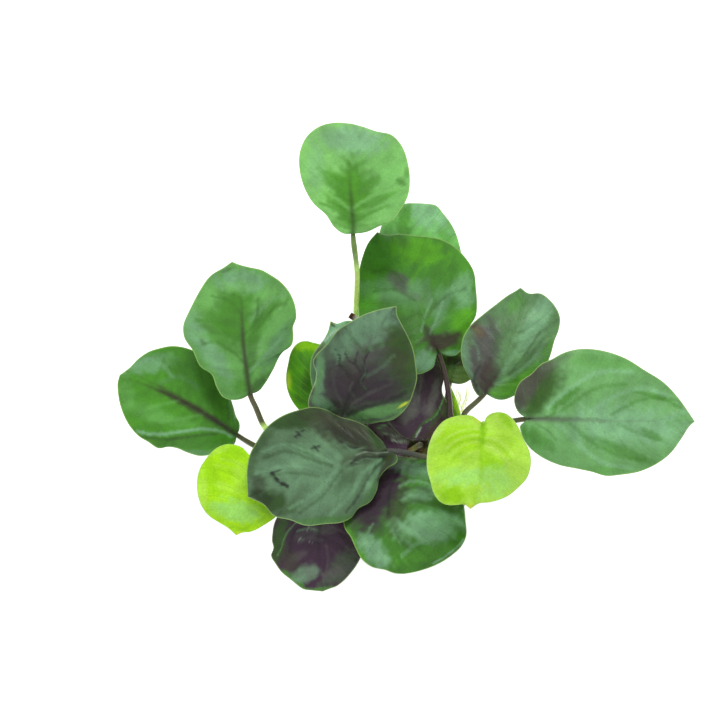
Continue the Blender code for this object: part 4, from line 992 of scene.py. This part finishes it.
def make_stalk(name, leaf):
    """A stalk: flared at its foot, a little swollen under the blade, and run out under the midrib."""
    line = sights(along(smooth_curve([leaf["base"], *leaf["rib"], leaf["tip"]]), STALK_REACH))
    lift = np.array(STALK_ARCH) * leaf["arch"] / 4
    under = on_blade_plane(leaf, line) - line * lift[:, None] * MM
    under = under + line * np.array(STALK_DEPTH)[:, None] * MM
    run = np.linspace(0, 1, 70)
    sides = 16
    path = along(stalk_path(leaf["foot"], leaf["route"], under), run)
    radii = np.interp(run, *np.array(STALK_RADII).T)
    turn = around(sides)
    shape = 1 + 0.04 * np.cos(2 * turn + 3 * run[:, None]) + 0.03 * np.cos(5 * turn)
    points, faces = tubes(path[None], (radii[:, None] * shape)[None], sides)
    tint = ring_values(tints_along(leaf.get("stalk_tints", STALK_TINTS[leaf["stalk"]]), run), sides)
    slot = "stalk_" + leaf["stalk"]
    return add_piece("stalk_" + name, slot, points, faces, [stalk_skin(leaf["stalk"])], Tint=tint)


def make_rolled_leaf():
    """A leaf still rolled up: a slim spindle whose outer edge winds round it and ends in a step."""
    run = np.linspace(0, 1, 70)
    sides = 40
    path = along(stalk_path(ROLLED_FOOT, ROLLED_ROUTE), run)
    radii = np.interp(run, np.linspace(0, 1, len(ROLLED_RADII)), ROLLED_RADII) * 1.08 * MM
    wound = (np.arange(sides) / sides + 1.3 * run[:, None]) % 1
    opened = soft_step(0.25, 0.5, run)[:, None]
    shape = 1 + 0.3 * opened * (wound - 0.5)
    points, faces = tubes(path[None], (radii[:, None] * shape)[None], sides)
    tint = lay_over(TINTS["lime"], "grass", 0.75 * soft_step(0.25, 0.0, wound))
    tint = with_ends(tint * (0.55 + 0.45 * soft_step(0.1, 0.5, run))[:, None, None])
    return add_piece("leaf_rolled_young", "leaf_young", points, faces, [stalk_skin("green")], Tint=tint)


def make_stub():
    """An old stalk that was cut: a pale neck, and a brown ragged end that is hollow in the middle."""
    run = np.linspace(0, 1, 60)
    sides = 20
    path = along(stalk_path(STUB_FOOT, STUB_ROUTE), run)
    radii = np.interp(run, np.linspace(0, 1, len(STUB_RADII)), STUB_RADII) * MM
    turn = around(sides)
    ragged = soft_step(0.93, 1.0, run)[:, None] * 0.22 * np.cos(3 * turn + 1) * np.cos(turn)
    shape = 1 + 0.05 * np.cos(2 * turn + 9 * run[:, None]) + ragged
    points, faces = tubes(path[None], (radii[:, None] * shape)[None], sides, dent=0.6)
    tint = ring_values(tints_along(STUB_TINTS, run), sides)
    return add_piece("stalk_stub", "stalk_stub", points, faces, [stub_skin()], Tint=tint)


def make_rhizome():
    """The creeping stem: rings of old leaf scars, knobs between them, and a pale growing end."""
    run = np.linspace(0, 1, 260)
    sides = 40
    path = along(smooth_curve(np.array(RHIZOME_LINE, float) * MM), run)
    turn = around(sides)
    step = (run[:, None] * SCARS + 0.22 * np.sin(turn + 5 * run[:, None])) % 1
    knobs = np.stack(np.broadcast_arrays(path[:, :1] / MM, 4 * np.cos(turn), 4 * np.sin(turn)), axis=-1)
    shape = 1 + 0.07 * (step**0.6 - 0.6) + 0.05 * swell(knobs, 7, 5) + 0.02 * swell(knobs, 2.2, 6)
    points, faces = tubes(path[None], (rhizome_radius(run)[:, None] * shape)[None], sides)
    scar = soft_step(0.25, 0.0, step) + soft_step(0.9, 1.0, step)
    fresh_end = soft_step(0.16, 0.03, run)[:, None]
    tint = TINTS["rhizome brown"] * (1 + 0.3 * swell(knobs, 4, 7))[..., None]
    tint = lay_over(tint, "rhizome green", (0.5 + 0.35 * swell(knobs, 9, 8)).clip(0, 1))
    tint = lay_over(tint, "umber", 0.75 * scar)
    tint = lay_over(tint, "fresh", 0.75 * fresh_end)
    return add_piece("rhizome", "rhizome", points, faces, [bark_skin()], Tint=with_ends(tint).clip(0, 1))


# Stone

def stone_point(angle, level):
    """A point of the stone: angle round it, and level from its foot, 0, over its waist to its top, 1."""
    lower = np.clip(level / STONE_WAIST, 0, 1)
    climb = np.clip((level - STONE_WAIST) / (1 - STONE_WAIST), 0, 1) * math.pi / 2
    under = FOOT_REACH + (1 - FOOT_REACH) * np.sin(lower * math.pi / 2)
    reach = np.where(level < STONE_WAIST, under, np.cos(climb) ** ROUNDING)
    over = STONE_WAIST + (1 - STONE_WAIST) * np.sin(climb) ** CROWNING
    height = np.where(level < STONE_WAIST, STONE_WAIST * lower, over)
    lumps = 1 + sum(size * np.cos(count * angle + start + turn * height)
                    for size, count, start, turn in STONE_LUMPS)
    return np.stack([
        STONE_LENGTH / 2 * np.cos(angle) * reach * lumps + STONE_SLANT * height,
        STONE_DEPTH / 2 * np.sin(angle) * reach * lumps,
        STONE_HEIGHT * height + 0 * angle,
    ], axis=-1)


def stone_skin_point(angle, level, lift):
    """A point a little way out from the stone's skin."""
    step = 1e-3
    point = stone_point(angle, level)
    round_it = stone_point(angle + step, level) - point
    up_it = stone_point(angle, level + step) - point
    out = np.cross(round_it, up_it)
    return point + lift * out / np.linalg.norm(out, axis=-1, keepdims=True)


def make_stone():
    """The stone, with low ridges, cracks, pits and grit on its skin, a hollow at its right front, and a
    flat underside."""
    sides, levels = 260, 120
    highest = 0.985
    angle = around(sides)[None, :]
    level = (highest * spread(levels))[:, None]
    plain = stone_point(angle, level) / MM
    ridges = 0.4 - np.abs(swell(plain, RIDGES[1], 21))
    pits = soft_step(0.75, 1.3, swell(plain, PITS[1], 22))
    grit = swell(plain, GRIT[1], 23)
    cracks = soft_step(0.16, 0.0, np.abs(swell(plain, CRACKS[1], 24)))
    lift = RIDGES[0] * ridges - PITS[0] * pits - CRACKS[0] * cracks + GRIT[0] * grit
    lift = lift * soft_step(0.0, 0.06, level) * soft_step(highest, 0.9, level)
    aside = (angle - HOLLOW_PLACE[0]) / HOLLOW_SIZE[0]
    above = (level - HOLLOW_PLACE[1]) / HOLLOW_SIZE[1]
    lift = lift - HOLLOW_DEPTH * np.exp(-(aside**2) - above**2)
    rings = stone_skin_point(angle, level, lift[..., None] * MM)
    rings[0, :, 2] = 0
    points = np.vstack([rings.reshape(-1, 3), [[0, 0, 0]], stone_point(np.zeros(1), np.ones(1))])
    return add_piece("stone", "stone", points, tube_faces(1, levels, sides), [stone_finish()])


# Roots

def root_path(place, side, drift, end):
    """A root leaves the rhizome's underside and runs down the stone's skin to its end height.

    It nestles closer to the stone towards its thin end.
    """
    centre, _, radius = foot_on_rhizome(place, 0)
    start = centre + np.array([0, side, 0]) * (radius + ROOT_RADIUS + 1.5 * GAP)
    across = (start[0] - STONE_SLANT) / STONE_LENGTH * 2
    along_it = (start[1] + side * 2 * MM) / STONE_DEPTH * 2
    angle = math.atan2(along_it, across)
    climb = math.acos(math.hypot(across, along_it) ** (1 / ROUNDING))
    first = STONE_WAIST + (1 - STONE_WAIST) * climb / (math.pi / 2)
    run = np.linspace(0, 1, ROOT_RINGS)
    levels = first + (end * MM / STONE_HEIGHT - first) * run
    angles = angle + math.radians(drift) * run
    top = start - np.array([0, side, 0]) * 1.6 * MM
    lift = ROOT_RADIUS * (1.0 - 0.55 * run)
    return np.vstack([top, start, stone_skin_point(angles, levels, lift[:, None])])


def hairs(path, radii, seed):
    """Short root hairs: thin bent spikes that stand out of a root in all directions."""
    count = HAIR_COUNT
    draw = np.random.default_rng(seed)
    place = draw.uniform(0.06, 0.98, count)
    start = along(path, place)
    ahead = along(path, np.minimum(place + 0.01, 1)) - along(path, place - 0.01)
    out = np.cross(ahead, draw.normal(size=(count, 3)))
    out /= np.linalg.norm(out, axis=1, keepdims=True)
    long = HAIR_LENGTH * MM * draw.uniform(0.5, 1.0, count)[:, None]
    bend = draw.normal(size=(count, 3)) * 0.35 * long
    share = np.linspace(0, 1, 4)[None, :, None]
    root = np.interp(place, np.linspace(0, 1, len(radii)), radii)[:, None] * 0.7
    paths = start[:, None] + out[:, None] * (root[:, None] + long[:, None] * share)
    paths = paths + bend[:, None] * share**2
    thin = HAIR_RADIUS * MM * np.array([1.0, 0.8, 0.5, 0.12])
    return tubes(paths, np.broadcast_to(thin, (count, 4)), 3)


def join_shapes(shapes):
    """Several sets of points and faces as one."""
    points, faces, offset = [], [], 0
    for some_points, some_faces in shapes:
        points.append(some_points)
        faces += [[corner + offset for corner in face] for face in some_faces]
        offset += len(some_points)
    return np.vstack(points), faces


def make_root(number, root):
    """A root that clings to the stone: a slightly crooked strand, thin at its end, with short hairs."""
    seed = 300 + 10 * number
    run = np.linspace(0, 1, 90)
    path = along(smooth_curve(root_path(*root)), run)
    crook = np.stack([swell(path / MM, 9, seed + way) for way in range(3)], axis=-1)
    path = path + CROOK * MM * crook * soft_step(0, 0.15, run)[:, None]
    radii = ROOT_RADIUS * np.interp(run, [0, 0.2, 0.9, 1], [1.0, 0.8, 0.5, 0.15])
    radii = radii * (1 + 0.14 * swell(path / MM, 2.5, seed + 4))
    strand = tubes(path[None], radii[None, :, None], 10)
    points, faces = join_shapes([strand, hairs(path, radii, seed + 5)])
    return add_piece(f"root_{number:02d}", "root", points, faces, [root_skin()])


def make_free_root(number, route):
    """A loose bundle of fine root strands that wind about one route."""
    draw = np.random.default_rng(500 + number)
    run = np.linspace(0, 1, 40)
    middle = along(smooth_curve(route_points(route)), run)
    wander = draw.normal(size=(STRANDS, 4, 3)) * STRAND_WANDER * MM
    knots = np.linspace(0, 1, 4)
    loose = np.stack([[np.interp(run, knots, way) for way in one.T] for one in wander]).transpose(0, 2, 1)
    paths = middle[None] + loose * soft_step(0, 0.35, run)[None, :, None]
    radii = STRAND_RADIUS * MM * np.interp(run, [0, 0.7, 1], [1, 0.85, 0.35])
    shape = tubes(paths, np.broadcast_to(radii, (STRANDS, len(run))), 8)
    return add_piece(f"root_free_{number}", "root", *shape, [young_root_skin()])


# Shader nodes

def put(tree, kind, inputs=None, **settings):
    """A shader node. inputs gives sockets, by name or number, a value or another node's output."""
    node = tree.nodes.new("ShaderNode" + kind)
    for key, value in settings.items():
        setattr(node, key, value)
    for key, value in (inputs or {}).items():
        if isinstance(value, bpy.types.NodeSocket):
            tree.links.new(value, node.inputs[key])
        else:
            node.inputs[key].default_value = value
    return node


def work_out(tree, operation, *values):
    """The result of an operation on one, two or three numbers or sockets."""
    return put(tree, "Math", dict(enumerate(values)), operation=operation).outputs[0]


def times(tree, value, factor):
    """A value times a factor."""
    return work_out(tree, "MULTIPLY", value, factor)


def ramp(tree, value, low, high, least=0.0, most=1.0):
    """A smooth step of a value from low to high, given as least to most."""
    inputs = {"Value": value, "From Min": low, "From Max": high, "To Min": least, "To Max": most}
    return put(tree, "MapRange", inputs, interpolation_type="SMOOTHSTEP").outputs["Result"]


def tint_of(name, strength=1.0):
    """A named tint, made lighter or darker, as a shader takes it."""
    return (*(TINTS[name] * strength), 1.0)


def paint(tree, share, under, over):
    """A share of one colour laid over another."""
    return put(tree, "Mix", {0: share, 6: under, 7: over}, data_type="RGBA").outputs[2]


def shade(tree, colour, light):
    """A colour made lighter or darker by a factor."""
    grey = put(tree, "CombineColor", {0: light, 1: light, 2: light}).outputs[0]
    inputs = {0: 1.0, 6: colour, 7: grey}
    return put(tree, "Mix", inputs, data_type="RGBA", blend_type="MULTIPLY").outputs[2]


def own_values(tree, title):
    """Values that a piece has at its points, as a node's outputs."""
    return put(tree, "Attribute", attribute_name=title).outputs


def mottle_in(tree, broad=0.012, grain=0.0009, speck=0.0022):
    """The mottle's outputs for clouds, grain and specks of these sizes in metres."""
    sizes = {"Broad size": broad, "Grain size": grain, "Speck size": speck}
    return put(tree, "Group", sizes, node_tree=MOTTLE).outputs


def veins_in(tree):
    """The outputs of the vein group for the blade that the material is on."""
    return put(tree, "Group", {"Where": own_values(tree, "Where")["Vector"]}, node_tree=VEINS).outputs


def new_group(name, takes, gives):
    """An empty shader group with named inputs and outputs, and its two end nodes."""
    tree = bpy.data.node_groups.new(name, "ShaderNodeTree")
    for title, kind in takes.items():
        tree.interface.new_socket(name=title, in_out="INPUT", socket_type="NodeSocket" + kind)
    for title in gives:
        tree.interface.new_socket(name=title, in_out="OUTPUT", socket_type="NodeSocketFloat")
    return tree, tree.nodes.new("NodeGroupInput").outputs, tree.nodes.new("NodeGroupOutput").inputs


def new_material(name, **constants):
    """A material with a Principled shader and its constants, and the tree and shader to work on."""
    made = bpy.data.materials.new(name)
    made.use_nodes = True
    shader = made.node_tree.nodes["Principled BSDF"]
    for title, value in constants.items():
        shader.inputs[title.replace("_", " ").title().replace("Ior", "IOR")].default_value = value
    return made, made.node_tree, shader


def finish_with(tree, shader, colour, matt, height=None, strength=1.0, depth=0.0001):
    """Gives a shader its colour and how matt it is, and relief from a height, of a depth in metres."""
    tree.links.new(colour, shader.inputs["Base Color"])
    tree.links.new(matt, shader.inputs["Roughness"])
    if height is not None:
        bump = put(tree, "Bump", {"Strength": strength, "Distance": depth, "Height": height})
        tree.links.new(bump.outputs[0], shader.inputs["Normal"])


def make_veins_group():
    """Where the veins of a blade run, from its vein count, and the distances to midrib and margin.

    Side veins lie where the count is whole, fine veins at fifths of it, and a net of cells between.
    Relief is lower at veins and in the net's lines.
    """
    titles = ["Midrib", "Side veins", "Fine veins", "Net", "Margin", "Relief"]
    tree, takes, gives = new_group("blade veins", {"Where": "Vector"}, titles)
    split = put(tree, "SeparateXYZ", {0: takes["Where"]}).outputs
    waver = put(tree, "TexNoise", {"Vector": takes["Where"], "Scale": 0.6, "Detail": 2.0}).outputs[0]
    count = work_out(tree, "MULTIPLY_ADD", waver, 0.16, split["X"])
    midrib = ramp(tree, split["Y"], 0.95, 0.3)

    def lines(number, width):
        place = work_out(tree, "FRACT", work_out(tree, "MULTIPLY_ADD", count, number, 0.5))
        off = work_out(tree, "ABSOLUTE", work_out(tree, "SUBTRACT", place, 0.5))
        return ramp(tree, off, width, 0.0)

    side = lines(1.0, 0.1)
    fine = lines(5.0, 0.22)
    cells = put(tree, "CombineXYZ", {0: times(tree, count, 3.4), 1: times(tree, split["Y"], 0.75)})
    net = put(tree, "TexVoronoi", {"Vector": cells.outputs[0], "Scale": 1.7}, feature="DISTANCE_TO_EDGE")
    net = ramp(tree, net.outputs[0], 0.13, 0.0)
    margin = ramp(tree, split["Z"], 0.55, 0.12)
    low = work_out(tree, "MULTIPLY_ADD", side, 0.6, times(tree, fine, 0.2))
    low = work_out(tree, "MULTIPLY_ADD", net, 0.25, low)
    relief = work_out(tree, "SUBTRACT", 1.0, low)
    for title, value in zip(titles, [midrib, side, fine, net, margin, relief]):
        tree.links.new(value, gives[title])
    return tree


def make_mottle_group():
    """Uneven colour on Object coordinates: broad clouds, fine grain, and sparse specks."""
    sizes = ["Broad size", "Grain size", "Speck size"]
    tree, takes, gives = new_group("mottle", dict.fromkeys(sizes, "Float"), ["Clouds", "Grain", "Specks"])
    place = put(tree, "TexCoord").outputs["Object"]
    broad, fine, sparse = [
        {"Vector": place, "Scale": work_out(tree, "DIVIDE", 1.0, takes[size])} for size in sizes]
    clouds = put(tree, "TexNoise", {**broad, "Detail": 4.0, "Roughness": 0.55}).outputs[0]
    grain = put(tree, "TexNoise", {**fine, "Detail": 3.0}).outputs[0]
    specks = put(tree, "TexVoronoi", sparse).outputs
    chosen = ramp(tree, put(tree, "SeparateColor", {0: specks["Color"]}).outputs[0], 0.86, 0.9)
    tree.links.new(ramp(tree, clouds, 0.3, 0.7), gives["Clouds"])
    tree.links.new(grain, gives["Grain"])
    tree.links.new(times(tree, ramp(tree, specks["Distance"], 0.3, 0.12), chosen), gives["Specks"])
    return tree


VEINS = make_veins_group()
MOTTLE = make_mottle_group()

# How each kind of blade is finished: how much its veins, their net and its margin show, how matt it
# is, how strongly it is specked, how deep its relief is, and how glossy its wax is
BLADE_FINISH = {
    "fresh": dict(veins=0.10, vein="grass", net=0.06, margin=0.6, matt=0.38, specks=0.12, relief=0.4,
                  coat=0.25, ior=1.4),
    "young": dict(veins=0.22, vein="yolk green", net=0.05, margin=0.6, matt=0.42, specks=0.0, relief=0.3,
                  coat=0.08, ior=1.33),
    "mature": dict(veins=0.12, vein="bottle", net=0.08, margin=0.4, matt=0.36, specks=0.2, relief=0.5,
                   coat=0.25, ior=1.4),
    "dark": dict(veins=0.10, vein="bottle", net=0.08, margin=0.5, matt=0.32, specks=0.2, relief=0.7,
                 coat=0.4, ior=1.42),
    "purple": dict(veins=0.08, vein="slate", net=0.08, margin=0.3, matt=0.3, specks=0.15, relief=0.7,
                   coat=0.4, ior=1.42),
}
made_skins = {}


def once(make):
    """Makes each finish the first time that it is asked for, and gives the same one afterwards."""
    def given(*kind):
        if (make, kind) not in made_skins:
            made_skins[make, kind] = make(*kind)
        return made_skins[make, kind]
    return given


@once
def blade_skin(kind):
    """Waxy upper skin: the blade's tints, with its painted sheen, glow and shade, its veins and net, a thin
    pale margin, and a gloss.
    """
    look = BLADE_FINISH[kind]
    skin, tree, shader = new_material(f"{kind} blade", ior=look["ior"], coat_roughness=0.16,
                                      coat_weight=look["coat"])
    veins, mottle = veins_in(tree), mottle_in(tree)
    colour = own_values(tree, "Tint")["Color"]
    for title, share in (("Side veins", 1.0), ("Fine veins", 0.4)):
        shown = times(tree, veins[title], share * look["veins"])
        colour = paint(tree, shown, colour, tint_of(look["vein"]))
    light = ramp(tree, mottle["Clouds"], 0.0, 1.0, 0.9, 1.1)
    light = times(tree, light, ramp(tree, mottle["Grain"], 0.3, 0.7, 0.94, 1.06))
    light = work_out(tree, "MULTIPLY_ADD", veins["Net"], -look["net"], light)
    colour = shade(tree, colour, light)
    colour = paint(tree, times(tree, mottle["Specks"], look["specks"]), colour, tint_of("olive"))
    colour = paint(tree, times(tree, veins["Margin"], look["margin"]), colour, tint_of("margin"))
    matt = work_out(tree, "ADD", look["matt"], ramp(tree, mottle["Clouds"], 0.0, 1.0, -0.05, 0.09))
    matt = work_out(tree, "MULTIPLY_ADD", mottle["Specks"], 0.2, matt)
    height = work_out(tree, "MULTIPLY_ADD", mottle["Grain"], 0.25, veins["Relief"])
    finish_with(tree, shader, colour, matt, height, look["relief"], 0.00012)
    return skin


@once
def underside_skin(kind):
    """Paler, duller lower skin, on which the veins stand out."""
    skin, tree, shader = new_material(f"{kind} blade underside", ior=1.4)
    veins, mottle = veins_in(tree), mottle_in(tree, broad=0.02)
    pale = "under purple" if kind == "purple" else "under green"
    colour = paint(tree, 0.65, own_values(tree, "Tint")["Color"], tint_of(pale))
    colour = paint(tree, times(tree, veins["Side veins"], 0.35), colour, tint_of("margin", 0.7))
    colour = paint(tree, times(tree, veins["Midrib"], 0.5), colour, tint_of("margin", 0.7))
    colour = paint(tree, times(tree, mottle["Clouds"], 0.2), colour, tint_of("olive"))
    matt = ramp(tree, mottle["Grain"], 0.3, 0.7, 0.45, 0.6)
    height = work_out(tree, "SUBTRACT", mottle["Grain"], veins["Relief"])
    finish_with(tree, shader, colour, matt, height, 0.4, 0.00012)
    return skin


def tinted_skin(name, matt, streak, depth, coat=0.0):
    """A skin in the piece's tints, with painted glow on some stalks, and clouds, specks and grain, matt to
    a given degree.
    """
    skin, tree, shader = new_material(name, ior=1.45, coat_weight=coat)
    mottle = mottle_in(tree, 0.006, 0.0006, 0.0016)
    light = ramp(tree, mottle["Clouds"], 0.0, 1.0, 1 - streak, 1 + streak)
    light = times(tree, light, ramp(tree, mottle["Grain"], 0.3, 0.7, 0.9, 1.1))
    colour = shade(tree, own_values(tree, "Tint")["Color"], light)
    colour = paint(tree, times(tree, mottle["Specks"], 0.3), colour, tint_of("umber"))
    rough = work_out(tree, "ADD", matt, ramp(tree, mottle["Clouds"], 0.0, 1.0, -0.07, 0.07))
    height = work_out(tree, "MULTIPLY_ADD", mottle["Clouds"], 0.5, mottle["Grain"])
    finish_with(tree, shader, colour, rough, height, 0.6, depth)
    return skin


@once
def stalk_skin(kind):
    """Smooth, faintly clouded and glossy."""
    return tinted_skin(f"{kind} stalk", matt=0.34, streak=0.14, depth=0.00008, coat=0.2)


@once
def stub_skin():
    """The duller, rougher skin of a stalk that was cut long ago."""
    return tinted_skin("cut stalk", matt=0.6, streak=0.25, depth=0.0002)


@once
def bark_skin():
    """The rhizome's matt bark, with the deepest relief of the plant's skins."""
    return tinted_skin("rhizome bark", matt=0.62, streak=0.3, depth=0.0003)


@once
def root_skin():
    """Pale tan at the ends, green brown above and in places, with brown grit."""
    skin, tree, shader = new_material("root skin", ior=1.4)
    mottle = mottle_in(tree, 0.007, 0.0005, 0.0011)
    height = put(tree, "SeparateXYZ", {0: put(tree, "TexCoord").outputs["Object"]}).outputs["Z"]
    older = ramp(tree, height, 0.008, 0.036)
    colour = paint(tree, mottle["Clouds"], tint_of("root tan"), tint_of("root green"))
    colour = paint(tree, times(tree, older, 0.6), colour, tint_of("root old"))
    colour = paint(tree, ramp(tree, mottle["Grain"], 0.45, 0.75, 0.0, 0.5), colour, tint_of("root brown"))
    colour = paint(tree, mottle["Specks"], colour, tint_of("umber"))
    matt = ramp(tree, mottle["Grain"], 0.3, 0.7, 0.55, 0.75)
    finish_with(tree, shader, colour, matt, mottle["Grain"], 0.5, 0.0001)
    return skin


@once
def young_root_skin():
    """Smooth pale yellow, whiter in places, with a faint painted glow for light shining through the thin
    roots.
    """
    skin, tree, shader = new_material("young root skin", ior=1.4, emission_strength=0.3)
    mottle = mottle_in(tree, 0.004, 0.0004)
    colour = paint(tree, mottle["Clouds"], tint_of("young root"), tint_of("young root pale"))
    colour = paint(tree, ramp(tree, mottle["Grain"], 0.5, 0.8, 0.0, 0.3), colour, tint_of("root green"))
    # The emission is painted light: a glow that stands in for light shining through the roots.
    tree.links.new(colour, shader.inputs["Emission Color"])
    finish_with(tree, shader, colour, ramp(tree, mottle["Grain"], 0.3, 0.7, 0.4, 0.55))
    return skin


@once
def stone_finish():
    """Dark rough stone: grey clouds, pale grains, brown stains, and a green film on what faces up."""
    skin, tree, shader = new_material("dark stone", ior=1.5)
    mottle = mottle_in(tree, 0.014, 0.0007, 0.0019)
    coarse = mottle_in(tree, 0.03, 0.003, 0.005)
    colour = paint(tree, mottle["Clouds"], tint_of("stone dark"), tint_of("stone grey"))
    colour = paint(tree, ramp(tree, coarse["Grain"], 0.5, 0.68, 0.0, 0.7), colour, tint_of("stone light"))
    colour = paint(tree, ramp(tree, coarse["Clouds"], 0.55, 0.95, 0.0, 0.5), colour, tint_of("stone brown"))
    colour = paint(tree, times(tree, mottle["Specks"], 0.8), colour, tint_of("stone fleck"))
    upright = put(tree, "SeparateXYZ", {0: put(tree, "NewGeometry").outputs["Normal"]}).outputs["Z"]
    film = times(tree, ramp(tree, upright, -0.1, 0.9), ramp(tree, coarse["Grain"], 0.35, 0.62))
    colour = paint(tree, times(tree, film, 0.65), colour, tint_of("film green"))
    matt = ramp(tree, mottle["Grain"], 0.3, 0.7, 0.72, 0.95)
    height = work_out(tree, "MULTIPLY_ADD", coarse["Grain"], 1.5, mottle["Grain"])
    finish_with(tree, shader, colour, matt, height, 0.8, 0.0005)
    return skin


# Camera, light and floor

def hang(data, place, turn):
    """An object for a camera or a light, at a place and turned."""
    holder = bpy.data.objects.new(data.name, data)
    holder.location = place
    holder.rotation_euler = turn
    bpy.context.scene.collection.objects.link(holder)
    return holder


def set_camera():
    """The camera at the eye that the pixels belong to, square to the view, with no shift."""
    camera = bpy.data.cameras.new("camera")
    camera.sensor_width = 36
    camera.lens = camera.sensor_width * VIEW_DISTANCE / (IMAGE_WIDTH * PIXEL)
    camera.clip_start = 0.01
    bpy.context.scene.camera = hang(camera, EYE, (math.pi / 2 - VIEW_ELEVATION, 0, 0))


def add_light(name, azimuth, elevation, distance, size, power, mirrored=False):
    """A soft square light that faces the plant from a direction: azimuth from the front, to the right.

    One that isn't mirrored lights the plant but doesn't show in its gloss.
    """
    azimuth, elevation = math.radians(azimuth), math.radians(elevation)
    away = np.array([math.sin(azimuth) * math.cos(elevation), -math.cos(azimuth) * math.cos(elevation),
                     math.sin(elevation)])
    lamp = bpy.data.lights.new(name, "AREA")
    lamp.size = size
    lamp.energy = power
    holder = hang(lamp, PLANT_MIDDLE + distance * away, (math.pi / 2 - elevation, 0, azimuth))
    holder.visible_glossy = mirrored


def set_stage():
    """A white floor and surround, a broad light above, a small one for the sheen, and one in front."""
    scene = bpy.context.scene
    scene.view_settings.view_transform = "Standard"
    scene.world = bpy.data.worlds.new("studio")
    scene.world.use_nodes = True
    surround = scene.world.node_tree.nodes["Background"].inputs
    surround["Color"].default_value = (1, 1, 1, 1)
    surround["Strength"].default_value = SURROUND
    add_light("overhead light", azimuth=180, elevation=66, distance=0.9, size=0.5, power=OVERHEAD_POWER)
    add_light("sheen light", azimuth=150, elevation=58, distance=0.8, size=0.12, power=SHEEN_POWER,
              mirrored=True)
    add_light("front light", azimuth=-35, elevation=40, distance=1.0, size=0.7, power=FRONT_POWER)
    half = FLOOR_WIDTH / 2
    corners = [(-half, -half, 0), (half, -half, 0), (half, half, 0), (-half, half, 0)]
    mesh = bpy.data.meshes.new("floor")
    mesh.from_pydata(corners, [], [[0, 1, 2, 3]])
    white = new_material("white floor", base_color=(0.9, 0.9, 0.9, 1), roughness=0.9,
                         emission_color=(1, 1, 1, 1), emission_strength=FLOOR_GLOW)[0]
    mesh.materials.append(white)
    floor = bpy.data.objects.new("floor", mesh)
    scene.collection.objects.link(floor)


def main():
    """Sets the stage and makes every piece."""
    set_camera()
    set_stage()
    for order, (name, own) in enumerate(LEAVES.items(), 1):
        leaf = {**PLAIN_LEAF, **own}
        make_blade(name, leaf, 1000 * order)
        make_stalk(name, leaf)
    make_rolled_leaf()
    make_stub()
    make_rhizome()
    for number, root in enumerate(ROOTS, 1):
        make_root(number, root)
    for number, route in enumerate(FREE_ROOTS, 1):
        make_free_root(number, route)
    make_stone()


main()
